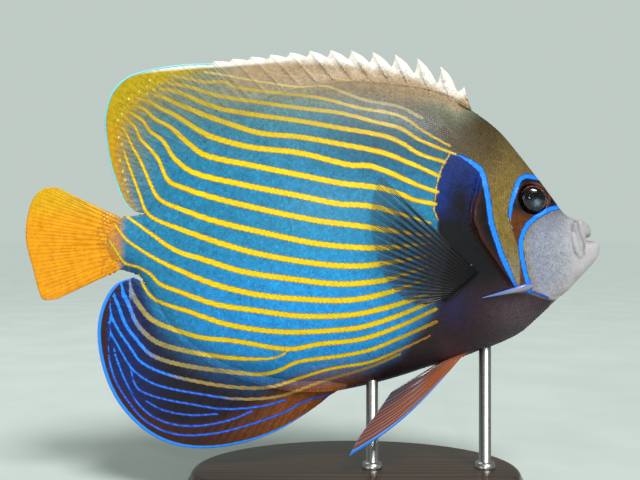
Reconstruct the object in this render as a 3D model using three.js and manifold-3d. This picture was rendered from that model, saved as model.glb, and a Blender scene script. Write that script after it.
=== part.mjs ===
// Emperor angelfish at life size, held level on a display stand.
// Millimetres. +X is towards the snout, +Z is up, and -Y is the fish's right flank.
// The origin is on the floor, under the middle of the whole model.
import * as THREE from "three";
import { mergeVertices } from "three/addons/utils/BufferGeometryUtils.js";
import Module from "manifold-3d";

const wasm = await Module();
wasm.setup();

// Driving dimensions.
const GAP = 0.3; // between neighbouring pieces
const FISH_LIFT = 20; // lowest fin tip above the floor
const FISH_SHIFT = 0.45; // sets the middle of the length over the origin
const BASE_HEIGHT = 12;
const BASE_LENGTH = 140;
const BASE_WIDTH = 92;
const BASE_CENTRE_X = 18;
const ROD_RADIUS = 2.5;
const ROD_PLACES = [24.6, 72];
const EYE_RADIUS = 5.7;
const EYE_PLACE = [88, 103.4];
const SPINE_COUNT = 13; // stiff spines of the dorsal fin
const SPINE_RIDGE = 0.55;
const RAY_RIDGE = 0.28;

// Outlines of the body without its fins, as [x, z], from the tail root to the snout.
const BACK_LINE = [
  [-79.5, 97], [-72.9, 98], [-70.3, 98.7], [-67, 103.3], [-63.2, 109.2], [-58.6, 116.8], [-53.1, 124.3],
  [-46.4, 131.5], [-37.2, 138.2], [-26.7, 143.6], [-14.1, 148.3], [-1.5, 151.2], [11.1, 152.9],
  [23.7, 152.9], [36.3, 151.6], [48.9, 149.5], [59.4, 145.7], [70.8, 138.6], [78.3, 132.3],
  [85, 124.3], [90.9, 116.8], [95.5, 111], [100.2, 104.6], [103.8, 99.7], [106.5, 97.4], [110, 96],
];
const BELLY_LINE = [
  [-79.5, 74.6], [-72.9, 72.2], [-69.5, 67.6], [-65.3, 60.1], [-60.3, 51.7], [-54, 44.5], [-45.6, 37.8],
  [-35.1, 31.9], [-22.5, 27.7], [-9.9, 25.2], [1.9, 24.8], [15.3, 26], [31.3, 29.4], [44.7, 33.2],
  [59.4, 37.3], [69.9, 41.2], [78.3, 44.3], [86.7, 48.6], [94, 55], [101.8, 62.2], [107.7, 67.2],
  [110, 69.7],
];
const HALF_WIDTH = [
  [-79.5, 4.2], [-66, 6], [-45, 9.5], [-20, 13.5], [10, 16.6], [40, 18], [62, 17.8], [78, 16],
  [90, 13.2], [100, 10], [106, 8], [110, 6.8],
];
const SECTION_POWER = 2.2;
const SECTION_SHARPNESS = [[-79.5, 0.62], [40, 0.64], [75, 0.56], [110, 0.5]];

// Outer margins of the fins, front to back.
const SPINE_TIPS = [
  [63.2, 151.6], [53.3, 160.2], [43.6, 163.6], [33, 165.3], [13.2, 167], [-4, 166.6], [-21.6, 164.8],
  [-43, 162.3],
];
const SOFT_DORSAL_MARGIN = [
  [-44, 161.7], [-56, 161], [-70, 158.6], [-78.5, 155.6], [-84.5, 149.6], [-87.6, 140], [-87.3, 131],
  [-85.5, 120], [-82.5, 110.5], [-79.6, 103.6], [-75.6, 99.6], [-71.6, 98.9],
];
const ANAL_MARGIN = [
  [11, 26.2], [7, 22.5], [1, 17.5], [-7, 12], [-16.2, 6.8], [-28.8, 2.4], [-43.5, 0], [-56.1, 0.8],
  [-66.6, 4.6], [-75, 10.9], [-82.1, 19.3], [-87.1, 29.4], [-90.1, 41.2], [-90.5, 51.7], [-88, 61.5],
  [-83, 68.8], [-75.5, 71.8],
];
const TAIL_MARGIN = [
  [-107.5, 109.4], [-112.8, 109], [-117.2, 105.4], [-119.8, 98.5], [-120.8, 90], [-120, 83.4], [-117.8, 75.6],
  [-115.6, 67], [-113.4, 62.4], [-107.5, 62.6],
];
const PECTORAL_MARGIN = [
  [26.1, 113.8], [23.4, 104], [22.6, 93.2], [24.1, 83.5], [27.7, 73.7], [32.6, 67], [38.6, 62.8], [44.8, 61.7],
];
const PELVIC_MARGIN = [[14.5, 0.4], [18.3, 7.6], [23.7, 15.1], [27.9, 21], [31.5, 26.2]];

// A smooth function through [place, value] pairs that are sorted by place.
function smooth(pairs) {
  const slope = pairs.map((_, i) => {
    const a = pairs[Math.max(i - 1, 0)];
    const b = pairs[Math.min(i + 1, pairs.length - 1)];
    return (b[1] - a[1]) / (b[0] - a[0]);
  });
  return (x) => {
    const last = pairs.length - 2;
    let i = 0;
    while (i < last && x > pairs[i + 1][0]) i++;
    const [x0, y0] = pairs[i];
    const [x1, y1] = pairs[i + 1];
    const step = x1 - x0;
    const t = Math.min(Math.max((x - x0) / step, 0), 1);
    const rise = t * t * (3 - 2 * t);
    const out = t * (1 - t) * (1 - t) * slope[i] * step;
    const back = t * t * (1 - t) * slope[i + 1] * step;
    return y0 + (y1 - y0) * rise + out - back;
  };
}

const back = smooth(BACK_LINE);
const belly = smooth(BELLY_LINE);
const halfWidth = smooth(HALF_WIDTH);
const sharpness = smooth(SECTION_SHARPNESS);
const mix = (a, b, t) => a + (b - a) * t;
const mixPoint = (a, b, t) => a.map((value, i) => mix(value, b[i], t));

// Half thickness of the body at x and z, once it is grown by `grow` all round.
function flank(x, z, grow = 0) {
  const top = back(x) + grow;
  const bottom = belly(x) - grow;
  const t = Math.min(Math.abs((2 * z - top - bottom) / (top - bottom)), 1);
  return (halfWidth(x) + grow) * (1 - t ** SECTION_POWER) ** sharpness(x);
}

// A closed geometry from rings of points, each ring capped or joined to the next.
function geometryOf(points, triangles) {
  const geometry = new THREE.BufferGeometry();
  geometry.setAttribute("position", new THREE.Float32BufferAttribute(points.flat(), 3));
  geometry.setIndex(triangles.flat());
  return geometry;
}

function ringSolid(rings) {
  const count = rings[0].length;
  const points = rings.flat();
  const triangles = [];
  const centre = (ring) => ring.reduce((sum, p) => sum.map((v, i) => v + p[i] / ring.length), [0, 0, 0]);
  rings.slice(1).forEach((_, row) => {
    for (let k = 0; k < count; k++) {
      const a = row * count + k;
      const b = row * count + ((k + 1) % count);
      triangles.push([a, b, a + count], [b, b + count, a + count]);
    }
  });
  const first = points.push(centre(rings[0])) - 1;
  const last = points.push(centre(rings.at(-1))) - 1;
  const base = (rings.length - 1) * count;
  for (let k = 0; k < count; k++) {
    const next = (k + 1) % count;
    triangles.push([first, next, k], [last, base + k, base + next]);
  }
  return geometryOf(points, triangles);
}

// three.js geometry to a manifold solid, and back.
function solid(geometry) {
  const bare = geometry.clone();
  bare.deleteAttribute("normal");
  bare.deleteAttribute("uv");
  const merged = mergeVertices(bare, 1e-4);
  const mesh = new wasm.Mesh({
    numProp: 3,
    vertProperties: new Float32Array(merged.attributes.position.array),
    triVerts: new Uint32Array(merged.index.array),
  });
  const made = new wasm.Manifold(mesh);
  if (made.volume() >= 0) return made;
  const turned = merged.index.array;
  for (let i = 0; i < turned.length; i += 3) [turned[i + 1], turned[i + 2]] = [turned[i + 2], turned[i + 1]];
  return solid(merged);
}

const volumeOf = (piece) => Math.abs(piece.volume());

// The largest closed body of a solid.
function largest(made) {
  return made.decompose().sort((a, b) => volumeOf(b) - volumeOf(a))[0];
}

function geometryFrom(made) {
  const mesh = made.getMesh();
  const geometry = new THREE.BufferGeometry();
  geometry.setAttribute("position", new THREE.BufferAttribute(new Float32Array(mesh.vertProperties), 3));
  geometry.setIndex(new THREE.BufferAttribute(new Uint32Array(mesh.triVerts), 1));
  return geometry;
}

// A prism that stands on a closed outline of [x, z] points, between two values of y.
function prism(outline, low, high) {
  const shape = new THREE.Shape(outline.map(([x, z]) => new THREE.Vector2(x, z)));
  const geometry = new THREE.ExtrudeGeometry(shape, { depth: high - low, bevelEnabled: false });
  geometry.rotateX(Math.PI / 2);
  geometry.translate(0, high, 0);
  return solid(geometry);
}

function ellipsoid(centre, radii, across = 22, rows = 12) {
  const geometry = new THREE.SphereGeometry(1, across, rows);
  geometry.rotateX(Math.PI / 2);
  geometry.scale(...radii);
  geometry.translate(...centre);
  return solid(geometry);
}

function pin(from, to, radius, sides = 12) {
  const a = new THREE.Vector3(...from);
  const b = new THREE.Vector3(...to);
  const geometry = new THREE.CylinderGeometry(radius, radius, a.distanceTo(b), sides);
  const turn = new THREE.Quaternion().setFromUnitVectors(new THREE.Vector3(0, 1, 0), b.clone().sub(a).normalize());
  geometry.applyQuaternion(turn);
  geometry.translate(...a.add(b).multiplyScalar(0.5).toArray());
  return solid(geometry);
}

// The body from the tail root to the snout, grown by `grow`.
const RING_SIDES = 32;
const STATIONS = [
  -79.5, -74.5, -71.2, -69.5, -67.5, -65, -62, -58, -53, -47, -40, -32, -22, -12, 0, 12, 24, 36, 48, 57, 64,
  70, 75.5, 80.5, 85, 89, 92.5, 95.5, 98.5, 101.5, 104, 107, 110,
];
function body(grow) {
  const rings = STATIONS.map((x) => {
    const top = back(x) + grow;
    const bottom = belly(x) - grow;
    return Array.from({ length: RING_SIDES }, (_, k) => {
      const turn = (2 * Math.PI * k) / RING_SIDES;
      const z = mix(bottom, top, (1 - Math.cos(turn)) / 2);
      const side = k * 2 < RING_SIDES ? 1 : -1;
      return [x, side * flank(x, z, grow), z];
    });
  });
  return solid(ringSolid(rings));
}

const core = body(0);
const grownCore = body(GAP);

// A curve through [x, z] points as evenly spaced samples, and a point at a share of its length.
function along(points) {
  const curve = new THREE.CatmullRomCurve3(points.map(([x, z]) => new THREE.Vector3(x, 0, z)), false, "centripetal");
  return (share) => {
    const p = curve.getPointAt(share);
    return [p.x, p.z];
  };
}

// A fin as a closed plate. Each column has a root and a rim point [x, z] and a ridge from 0 to 1.
// half(column, v) is the half thickness, and middle(x, z, v) is the y of the plate's middle.
// A column with a sag hangs below its straight line by that much at its middle.
function finPlate(columns, rows, half, middle = () => 0) {
  const points = [];
  const across = rows + 1;
  for (const side of [1, -1]) {
    for (const column of columns) {
      for (let row = 0; row <= rows; row++) {
        const v = row / rows;
        const [x, straight] = mixPoint(column.root, column.rim, v);
        const z = straight - (column.sag ?? 0) * Math.sin(Math.PI * v);
        points.push([x, middle(x, z, v) + side * half(column, v), z]);
      }
    }
  }
  const under = columns.length * across;
  const triangles = [];
  const quad = (a, b, c, d) => triangles.push([a, b, c], [a, c, d]);
  for (let i = 0; i + 1 < columns.length; i++) {
    for (let row = 0; row < rows; row++) {
      const a = i * across + row;
      const b = a + across;
      quad(a, b, b + 1, a + 1);
      triangles.push([under + a, under + b + 1, under + b], [under + a, under + a + 1, under + b + 1]);
    }
  }
  const rim = [];
  for (let i = 0; i < columns.length; i++) rim.push(i * across);
  for (let row = 1; row <= rows; row++) rim.push((columns.length - 1) * across + row);
  for (let i = columns.length - 2; i >= 0; i--) rim.push(i * across + rows);
  for (let row = rows - 1; row > 0; row--) rim.push(row);
  rim.forEach((a, i) => {
    const b = rim[(i + 1) % rim.length];
    quad(b, a, under + a, under + b);
  });
  return solid(geometryOf(points, triangles));
}

// Columns of a rayed fin: two for each ray, one on its ridge and one in the valley behind it.
function rayColumns(rootAt, rimAt, rays) {
  return Array.from({ length: 2 * rays + 1 }, (_, i) => {
    const share = i / (2 * rays);
    return { root: rootAt(share), rim: rimAt(share), ridge: i % 2 };
  });
}

// A point moved away from `from` by `distance`, so that a root runs on into the body.
function sunk(root, rim, distance) {
  const length = Math.hypot(root[0] - rim[0], root[1] - rim[1]);
  return mixPoint(root, rim, -distance / length);
}

const FIN_ROOT_HALF = 2.6;
const FIN_RIM_HALF = 0.35;
const FIN_SINK = 6;
const rayHeight = (v) => Math.sin(Math.PI * Math.min(v, 0.94)) ** 0.5;
function medianHalf(ridgeHeight) {
  return (column, v) =>
    mix(FIN_ROOT_HALF, FIN_RIM_HALF, v ** 0.8) + column.ridge * ridgeHeight * rayHeight(Math.max(v, 0.02));
}

// Spiny part of the dorsal fin: each spine's tip stands free, with a notch in the membrane behind it.
const SPINE_FIRST_STEP = 9.9;
const SPINE_STEP_LOSS = 0.21;
const NOTCH_DEPTH = 10.2;
const NOTCH_DECAY = 0.2;
const FIRST_NOTCH = 4.8;
const NOTCH_BEHIND_TIP = 1.3;
const SPINE_ROOT_FRONT = 64.5;
const SPINE_ROOT_REAR = -26;
function spinyDorsal() {
  const tipLine = smooth(SPINE_TIPS.toReversed());
  const firstTip = SPINE_TIPS[0][0];
  const lastTip = SPINE_TIPS.at(-1)[0];
  const rootShare = (SPINE_ROOT_FRONT - SPINE_ROOT_REAR) / (firstTip - lastTip);
  const column = (x, z, ridge) => {
    const rootX = SPINE_ROOT_FRONT - (firstTip - x) * rootShare;
    const root = [rootX, back(rootX)];
    return { root: sunk(root, [x, z], FIN_SINK), rim: [x, z], ridge };
  };
  const columns = [column(64.6, 142.6, 0)];
  let tip = firstTip;
  for (let k = 0; k < SPINE_COUNT; k++) {
    const depth = k ? NOTCH_DEPTH * Math.exp(-NOTCH_DECAY * k) : FIRST_NOTCH;
    const foot = columns.at(-1).rim;
    const middle = mixPoint(foot, [tip, tipLine(tip)], 0.5);
    const bulge = k ? 0.12 * depth : 0;
    columns.push(column(middle[0] + bulge * 0.5, middle[1] + bulge, 0.6));
    columns.push(column(tip, tipLine(tip), 1));
    const notch = tip - NOTCH_BEHIND_TIP;
    columns.push(column(notch, Math.max(tipLine(notch) - depth, back(notch) + 1), 0));
    tip -= SPINE_FIRST_STEP - SPINE_STEP_LOSS * k;
  }
  return largest(finPlate(columns, 6, medianHalf(SPINE_RIDGE)).subtract(grownCore));
}

function softDorsal() {
  const rimAt = along(SOFT_DORSAL_MARGIN);
  const rootLine = [SPINE_ROOT_REAR - 2 * GAP, -37.2, -46.4, -53.1, -58.6, -63.2, -67, -70];
  const rootCurve = along(rootLine.map((x) => [x, back(x)]));
  const columns = rayColumns(
    (share) => sunk(rootCurve(share), rimAt(share), FIN_SINK * (1 - share) + 0.5),
    rimAt,
    19,
  );
  return largest(finPlate(columns, 6, medianHalf(RAY_RIDGE)).subtract(grownCore));
}

function analFin() {
  const rimAt = along(ANAL_MARGIN);
  const rootLine = [14, 2, -9.9, -22.5, -35.1, -45.6, -54, -60.3, -65.3, -70];
  const rootCurve = along(rootLine.map((x) => [x, belly(x)]));
  const columns = rayColumns(
    (share) => sunk(rootCurve(share), rimAt(share), FIN_SINK * (1 - share) + 0.5),
    rimAt,
    21,
  );
  return largest(finPlate(columns, 6, medianHalf(RAY_RIDGE)).subtract(grownCore));
}

const TAIL_ROOT_X = -79.5;
function caudalFin() {
  const rimAt = along(TAIL_MARGIN);
  const top = back(TAIL_ROOT_X) - 0.6;
  const bottom = belly(TAIL_ROOT_X) + 0.6;
  const columns = rayColumns((share) => [TAIL_ROOT_X - GAP, mix(top, bottom, share)], rimAt, 16);
  const half = (column, v) => mix(3, FIN_RIM_HALF, v ** 0.55) + column.ridge * RAY_RIDGE * rayHeight(v);
  return finPlate(columns, 6, half);
}

// A pectoral fin lies back along the flank and stands a little off it towards its rim.
const PECTORAL_ROOT = [[62.7, 77.1], [52.4, 63.7]];
const PECTORAL_STAND_OFF = 3.2;
function pectoralFin(side) {
  const rimAt = along(PECTORAL_MARGIN);
  const columns = rayColumns((share) => mixPoint(...PECTORAL_ROOT, share), rimAt, 15);
  const half = (column, v) => mix(1.1, 0.3, v ** 0.5) + column.ridge * 0.22 * rayHeight(v);
  const middle = (x, z, v) => side * (flank(x, z) + GAP + 1.15 + PECTORAL_STAND_OFF * v ** 1.3);
  return finPlate(columns, 6, half, middle);
}

// A pelvic fin is a narrow fan behind its spine, which sags in front. `dip` turns it up, and
// `fold` closes the fan.
const PELVIC_ROOT = [[61, 38.5], [52, 36.2]];
const PELVIC_ROOT_Y = 3.6;
const PELVIC_SAG = 4.2;
function pelvicFin(side, dip, fold, spread) {
  const open = along(PELVIC_MARGIN);
  const turned = ([x, z]) => {
    const dx = x - PELVIC_ROOT[0][0];
    const dz = z - PELVIC_ROOT[0][1];
    const angle = THREE.MathUtils.degToRad(-dip);
    return [
      PELVIC_ROOT[0][0] + dx * Math.cos(angle) - dz * Math.sin(angle),
      PELVIC_ROOT[0][1] + dx * Math.sin(angle) + dz * Math.cos(angle),
    ];
  };
  const rimAt = (share) => turned(open(share * fold));
  const columns = rayColumns((share) => mixPoint(...PELVIC_ROOT, share * fold), rimAt, 6);
  columns.forEach((column, i) => {
    column.sag = PELVIC_SAG * fold * (1 - i / (columns.length - 1));
  });
  const half = (column, v) => mix(1.5, 0.35, v ** 0.6) + column.ridge * 0.25 * rayHeight(v);
  const middle = (x, z, v) => side * (PELVIC_ROOT_Y + spread * v);
  return largest(finPlate(columns, 6, half, middle).subtract(grownCore));
}

// The line of the gill opening, from the nape down behind the gill cover to the throat.
const GILL_LINE = [
  [65.2, 146], [64.9, 141.5], [67.5, 128], [70.3, 114.4], [66.8, 107.3], [65.3, 98.5], [67.7, 88.2],
  [72.8, 78.6], [80, 69], [88, 63.8], [101, 61.6], [108, 57],
];
const GILL_FRONT = [[78, 113.6], [79.6, 105.3], [80.7, 97.4], [82.3, 87.4], [84.3, 78.6], [87.6, 68.2]];
const GILL_FIRST = 3; // first point of the gill line that borders the cover
const GILL_LAST = 8;
const COVER_RAISED = 0.8;
const COVER_DEPTH = 1.2;
const GILL_SLIT = 0.6;

// A line of [x, z] points moved sideways by `distance`, to the left of its direction.
function beside(line, distance) {
  return line.map((point, i) => {
    const a = line[Math.max(i - 1, 0)];
    const b = line[Math.min(i + 1, line.length - 1)];
    const length = Math.hypot(b[0] - a[0], b[1] - a[1]);
    return [point[0] - (distance * (b[1] - a[1])) / length, point[1] + (distance * (b[0] - a[0])) / length];
  });
}

function headPrism(clear) {
  const far = [[130, 50], [130, 160]];
  return prism([...beside(GILL_LINE, clear), ...far], -40, 40);
}

// The cheek spine: a flattened spike that points back from the lower corner of the gill cover.
const CHEEK_SPINE = [[89, 69.2], [67.6, 64.2]];
function cheekSpine(side) {
  const rings = [];
  for (let step = 0; step <= 6; step++) {
    const t = step / 6;
    const [x, z] = mixPoint(...CHEEK_SPINE, t);
    const radius = mix(2.1, 0.35, t ** 0.9) * mix(0.4, 1, Math.min(t * 4, 1));
    const y = side * (flank(x, z) + mix(0.1, GAP + 0.2, Math.min(t * 3, 1)) + radius * 0.75);
    rings.push(
      Array.from({ length: 8 }, (_, k) => {
        const turn = (2 * Math.PI * k) / 8;
        return [x, y + radius * 0.75 * Math.cos(turn), z + radius * Math.sin(turn)];
      }),
    );
  }
  return solid(ringSolid(rings));
}

const shell = body(COVER_RAISED).subtract(body(-COVER_DEPTH));
function gillCover(side) {
  const rear = beside(GILL_LINE.slice(GILL_FIRST, GILL_LAST + 1), GILL_SLIT);
  const outline = [...rear, ...GILL_FRONT.toReversed()];
  const region = side > 0 ? prism(outline, 1, 40) : prism(outline, -40, -1);
  return largest(shell.intersect(region).add(cheekSpine(side)));
}

function gillPocket() {
  const front = beside(GILL_FRONT, GAP);
  const rear = beside(GILL_LINE.slice(GILL_FIRST, GILL_LAST + 1), -4);
  const top = [rear[0][0], rear[0][1] + GAP * 2];
  const frontTop = [front[0][0], front[0][1] + GAP];
  const foot = front.at(-1);
  const outline = [top, ...rear.slice(1), [foot[0], foot[1] - GAP], ...front.toReversed().slice(1), frontTop];
  return prism(outline, -40, 40).subtract(body(-COVER_DEPTH - GAP));
}

const EYE_FLATNESS = 0.56;
const EYE_SINK = 1;
const LID_WIDTH = 1.3;
const NOSTRILS = [[99.6, 101.4], [97.4, 103.4]];
const NOSTRIL_RADIUS = 0.7;
function eyeCentre(side) {
  const [x, z] = EYE_PLACE;
  return [x, side * (flank(x, z) - EYE_SINK), z];
}
function eyeSolid(side, grow) {
  const radius = EYE_RADIUS + grow;
  return ellipsoid(eyeCentre(side), [radius, EYE_RADIUS * EYE_FLATNESS + grow, radius]);
}

function head() {
  let made = core.intersect(headPrism(GAP)).subtract(gillPocket());
  for (const side of [1, -1]) {
    const lid = EYE_RADIUS + LID_WIDTH;
    made = made.add(ellipsoid(eyeCentre(side), [lid, EYE_RADIUS * EYE_FLATNESS - 0.9, lid]));
    made = made.subtract(eyeSolid(side, GAP));
    for (const [x, z] of NOSTRILS) {
      const y = flank(x, z);
      made = made.subtract(pin([x, side * (y - 1.6), z], [x, side * (y + 3), z], NOSTRIL_RADIUS, 8));
    }
  }
  return largest(made.subtract(headPrism(-20).subtract(headPrism(GAP))));
}

// A lip or jaw as rings of [x, low, high, halfWidth], rounded in front.
function jaw(stations) {
  const rings = stations.map(([x, low, high, width]) =>
    Array.from({ length: 20 }, (_, k) => {
      const turn = (2 * Math.PI * k) / 20;
      const shape = (value) => Math.sign(value) * Math.abs(value) ** 0.8;
      return [x, width * shape(Math.sin(turn)), mix(low, high, (1 - shape(Math.cos(turn))) / 2)];
    }),
  );
  return solid(ringSolid(rings));
}
const UPPER_LIP = [
  [110.3, 87.8, 95.8, 6.4], [112.2, 88, 95.5, 6], [113.9, 88.2, 94.4, 5], [115.3, 88.6, 92.8, 3.6],
  [116, 89.4, 91.4, 1.8],
];
const LOWER_JAW = [
  [110.3, 70.2, 87.4, 6.6], [112.5, 72.9, 87.3, 6.3], [115, 75.6, 87.2, 5.6], [117.4, 78.3, 86.9, 4.4],
  [119.2, 80.8, 86, 2.9], [120, 82.4, 84.8, 1.5],
];

// The trunk behind the gill opening, and the tail root that carries the tail fin.
const TAIL_CUT = -62;
const slab = (low, high) => prism([[low, -20], [high, -20], [high, 200], [low, 200]], -60, 60);

function standBase() {
  const profile = [[0, 0], [0.96, 0], [1, 0.18], [1, 0.72], [0.97, 0.93], [0.93, 1], [0, 1]];
  const geometry = new THREE.LatheGeometry(profile.map(([r, h]) => new THREE.Vector2(r, h)), 48);
  geometry.rotateX(Math.PI / 2);
  geometry.scale(BASE_LENGTH / 2, BASE_WIDTH / 2, BASE_HEIGHT);
  geometry.translate(BASE_CENTRE_X, 0, 0);
  return solid(geometry);
}

// The rods start on the base and end under the belly. Heights are in the fish's own frame.
function standRod(x) {
  const foot = BASE_HEIGHT + GAP - FISH_LIFT;
  return largest(pin([x, 0, foot], [x, 0, belly(x) + 4], ROD_RADIUS, 20).subtract(grownCore));
}

const OLIVE = { color: 0x7d7434, roughness: 0.45 };
const BLUE = { color: 0x2a86b8, roughness: 0.4 };
const GREY = { color: 0xa3a4b0, roughness: 0.5 };
const WHITE = { color: 0xd9cfbe, roughness: 0.5 };
const DARK = { color: 0x2b2350, roughness: 0.4 };
const ORANGE = { color: 0xf6a800, roughness: 0.4 };
const BLACK = { color: 0x1a1216, roughness: 0.2 };
const WOOD = { color: 0x3a2416, roughness: 0.4 };
const STEEL = { color: 0x9a9a98, roughness: 0.3, metalness: 1 };

const part = new THREE.Group();
const fish = new THREE.Group();
fish.position.set(FISH_SHIFT, 0, FISH_LIFT);
part.add(fish);

function addMesh(group, name, made, finish) {
  const mesh = new THREE.Mesh(geometryFrom(made), new THREE.MeshStandardMaterial(finish));
  mesh.name = name;
  group.add(mesh);
}

addMesh(fish, "head", head(), OLIVE);
addMesh(fish, "upper_lip", jaw(UPPER_LIP), GREY);
addMesh(fish, "lower_jaw", jaw(LOWER_JAW), GREY);
addMesh(fish, "trunk", largest(core.subtract(headPrism(0)).intersect(slab(TAIL_CUT, 200))), BLUE);
addMesh(fish, "tail_root", core.intersect(slab(-200, TAIL_CUT - GAP)), BLUE);
addMesh(fish, "dorsal_fin_spiny", spinyDorsal(), WHITE);
addMesh(fish, "dorsal_fin_soft", softDorsal(), ORANGE);
addMesh(fish, "anal_fin", analFin(), DARK);
addMesh(fish, "caudal_fin", caudalFin(), ORANGE);
for (const [name, side] of [["R", -1], ["L", 1]]) {
  addMesh(fish, "gill_cover_" + name, gillCover(side), OLIVE);
  addMesh(fish, "eye_" + name, eyeSolid(side, 0), BLACK);
  addMesh(fish, "pectoral_fin_" + name, pectoralFin(side), DARK);
}
addMesh(fish, "pelvic_fin_R", pelvicFin(-1, 0, 1, 10), DARK);
addMesh(fish, "pelvic_fin_L", pelvicFin(1, 21.5, 0.45, 11), DARK);
ROD_PLACES.forEach((x, i) => addMesh(fish, "stand_rod_" + (i + 1), standRod(x), STEEL));
addMesh(part, "stand_base", standBase(), WOOD);

export default part;
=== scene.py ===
import math

import bmesh
import bpy
import numpy as np
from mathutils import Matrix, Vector


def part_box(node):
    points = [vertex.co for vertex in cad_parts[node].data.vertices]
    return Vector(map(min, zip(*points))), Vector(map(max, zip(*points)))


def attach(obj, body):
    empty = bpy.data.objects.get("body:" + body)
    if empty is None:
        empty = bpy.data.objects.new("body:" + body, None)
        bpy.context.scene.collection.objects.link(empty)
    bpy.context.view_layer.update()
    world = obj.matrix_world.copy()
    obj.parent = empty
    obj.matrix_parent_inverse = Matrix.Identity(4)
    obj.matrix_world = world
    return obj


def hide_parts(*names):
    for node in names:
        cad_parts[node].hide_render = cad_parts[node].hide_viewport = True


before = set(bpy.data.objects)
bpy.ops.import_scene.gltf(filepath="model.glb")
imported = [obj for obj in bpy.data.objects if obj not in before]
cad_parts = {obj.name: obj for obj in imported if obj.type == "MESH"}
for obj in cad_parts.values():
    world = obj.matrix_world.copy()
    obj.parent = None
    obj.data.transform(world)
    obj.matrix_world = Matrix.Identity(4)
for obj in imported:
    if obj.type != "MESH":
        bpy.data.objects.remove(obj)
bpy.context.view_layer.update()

rng = np.random.default_rng(7)

MM = 0.001
FISH_PLACE = np.array([0.45, 0.0, 20.0])  # the fish's own frame in the part's frame
SIDES = ((-1.0, "R"), (1.0, "L"))

# The photograph's frame and how it meets the fish's middle plane.
PIXEL = 0.42  # millimetres of the middle plane in one pixel
PHOTO_WIDTH, PHOTO_HEIGHT = 640, 480
PHOTO_MIDDLE = np.array([PHOTO_WIDTH / 2, PHOTO_HEIGHT / 2])
FISH_ORIGIN_PIXEL = np.array([313.5, 448.0])
CAMERA_DISTANCE = 330.0
SENSOR_WIDTH = 36.0
FAR = 99.0  # stands for a distance in pixels that wasn't worked out, as it is too far to matter


# Curves and blends

def smooth(pairs):
    """Hermite curve through (place, value) pairs: each piece is a cubic whose end slopes are the
    slopes between the neighbours of its ends."""
    places, values = np.array(pairs, float).T
    slopes = np.empty_like(values)
    slopes[1:-1] = (values[2:] - values[:-2]) / (places[2:] - places[:-2])
    slopes[0] = (values[1] - values[0]) / (places[1] - places[0])
    slopes[-1] = (values[-1] - values[-2]) / (places[-1] - places[-2])

    def value(x):
        i = np.clip(np.searchsorted(places, x, side="right") - 1, 0, len(places) - 2)
        span = places[i + 1] - places[i]
        t = np.clip((x - places[i]) / span, 0, 1)
        rise = t * t * (3 - 2 * t)
        out = t * (1 - t) ** 2 * slopes[i] * span
        back = t * t * (1 - t) * slopes[i + 1] * span
        return values[i] + (values[i + 1] - values[i]) * rise + out - back

    return value


def along(points):
    """Place on a smooth curve through 2-D points, at a share of its chord length."""
    points = np.array(points, float)
    steps = np.hypot(*np.diff(points, axis=0).T)
    chord = np.concatenate([[0], np.cumsum(steps)])
    chord /= chord[-1]
    first = smooth(np.column_stack([chord, points[:, 0]]))
    second = smooth(np.column_stack([chord, points[:, 1]]))
    return lambda share: np.column_stack([first(share), second(share)])


def step(value, low, high):
    """0 below low and 1 above high, with a smooth rise between them."""
    t = np.clip((value - low) / (high - low), 0, 1)
    return t * t * (3 - 2 * t)


def bell(value, middle, width):
    """1 at the middle, falling off as exp(-(distance / width) ** 2)."""
    return np.exp(-(((value - middle) / width) ** 2))


def mix(a, b, t):
    """a where t is 0 and b where t is 1, in a straight line between them."""
    return a + (b - a) * t


def colour(text):
    """Linear light of an sRGB hex colour."""
    channels = np.array([int(text[i:i + 2], 16) / 255 for i in (0, 2, 4)])
    return np.where(channels <= 0.04045, channels / 12.92, ((channels + 0.055) / 1.055) ** 2.4)


def evenly(paint, places):
    """The same paint at every place."""
    return np.tile(paint, (len(places), 1))


def spread(base, paint, mask):
    """A coat of paint over base colours, as thick as mask says at each point."""
    return base + (paint - base) * mask[:, None]


# Meshes from arrays

def grid_triangles(rows, columns, first=0, wrapped=False):
    """Two triangles for each cell of a grid of points, numbered row by row."""
    across = np.arange(columns if wrapped else columns - 1)
    beside = (across + 1) % columns
    down = np.arange(rows - 1)[:, None] * columns
    a, b = (down + across).ravel(), (down + beside).ravel()
    c, d = a + columns, b + columns
    return first + np.vstack([np.column_stack([a, c, d]), np.column_stack([a, d, b])])


def set_places(mesh, points):
    """Moves a mesh's vertices to points in the fish's own frame."""
    mesh.vertices.foreach_set("co", ((points + FISH_PLACE) * MM).astype(np.float32).ravel())


def mesh_of(name, points, triangles):
    """Blender mesh of points in the fish's own frame."""
    mesh = bpy.data.meshes.new(name)
    mesh.vertices.add(len(points))
    set_places(mesh, points)
    mesh.loops.add(triangles.size)
    mesh.loops.foreach_set("vertex_index", triangles.astype(np.int32).ravel())
    mesh.polygons.add(len(triangles))
    mesh.polygons.foreach_set("loop_start", np.arange(0, triangles.size, 3, dtype=np.int32))
    mesh.update(calc_edges=True)
    mesh.shade_smooth()
    return mesh


def reworked(mesh, change):
    """A mesh after a change to its faces."""
    work = bmesh.new()
    work.from_mesh(mesh)
    change(work, faces=work.faces)
    work.to_mesh(mesh)
    work.free()
    return mesh


def turned_out(mesh):
    """A closed mesh with its faces turned outwards."""
    return reworked(mesh, bmesh.ops.recalc_face_normals)


def places_of(mesh):
    """Vertices of a mesh, in the fish's own frame."""
    flat = np.empty(len(mesh.vertices) * 3, np.float32)
    mesh.vertices.foreach_get("co", flat)
    return flat.reshape(-1, 3).astype(float) / MM - FISH_PLACE


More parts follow.
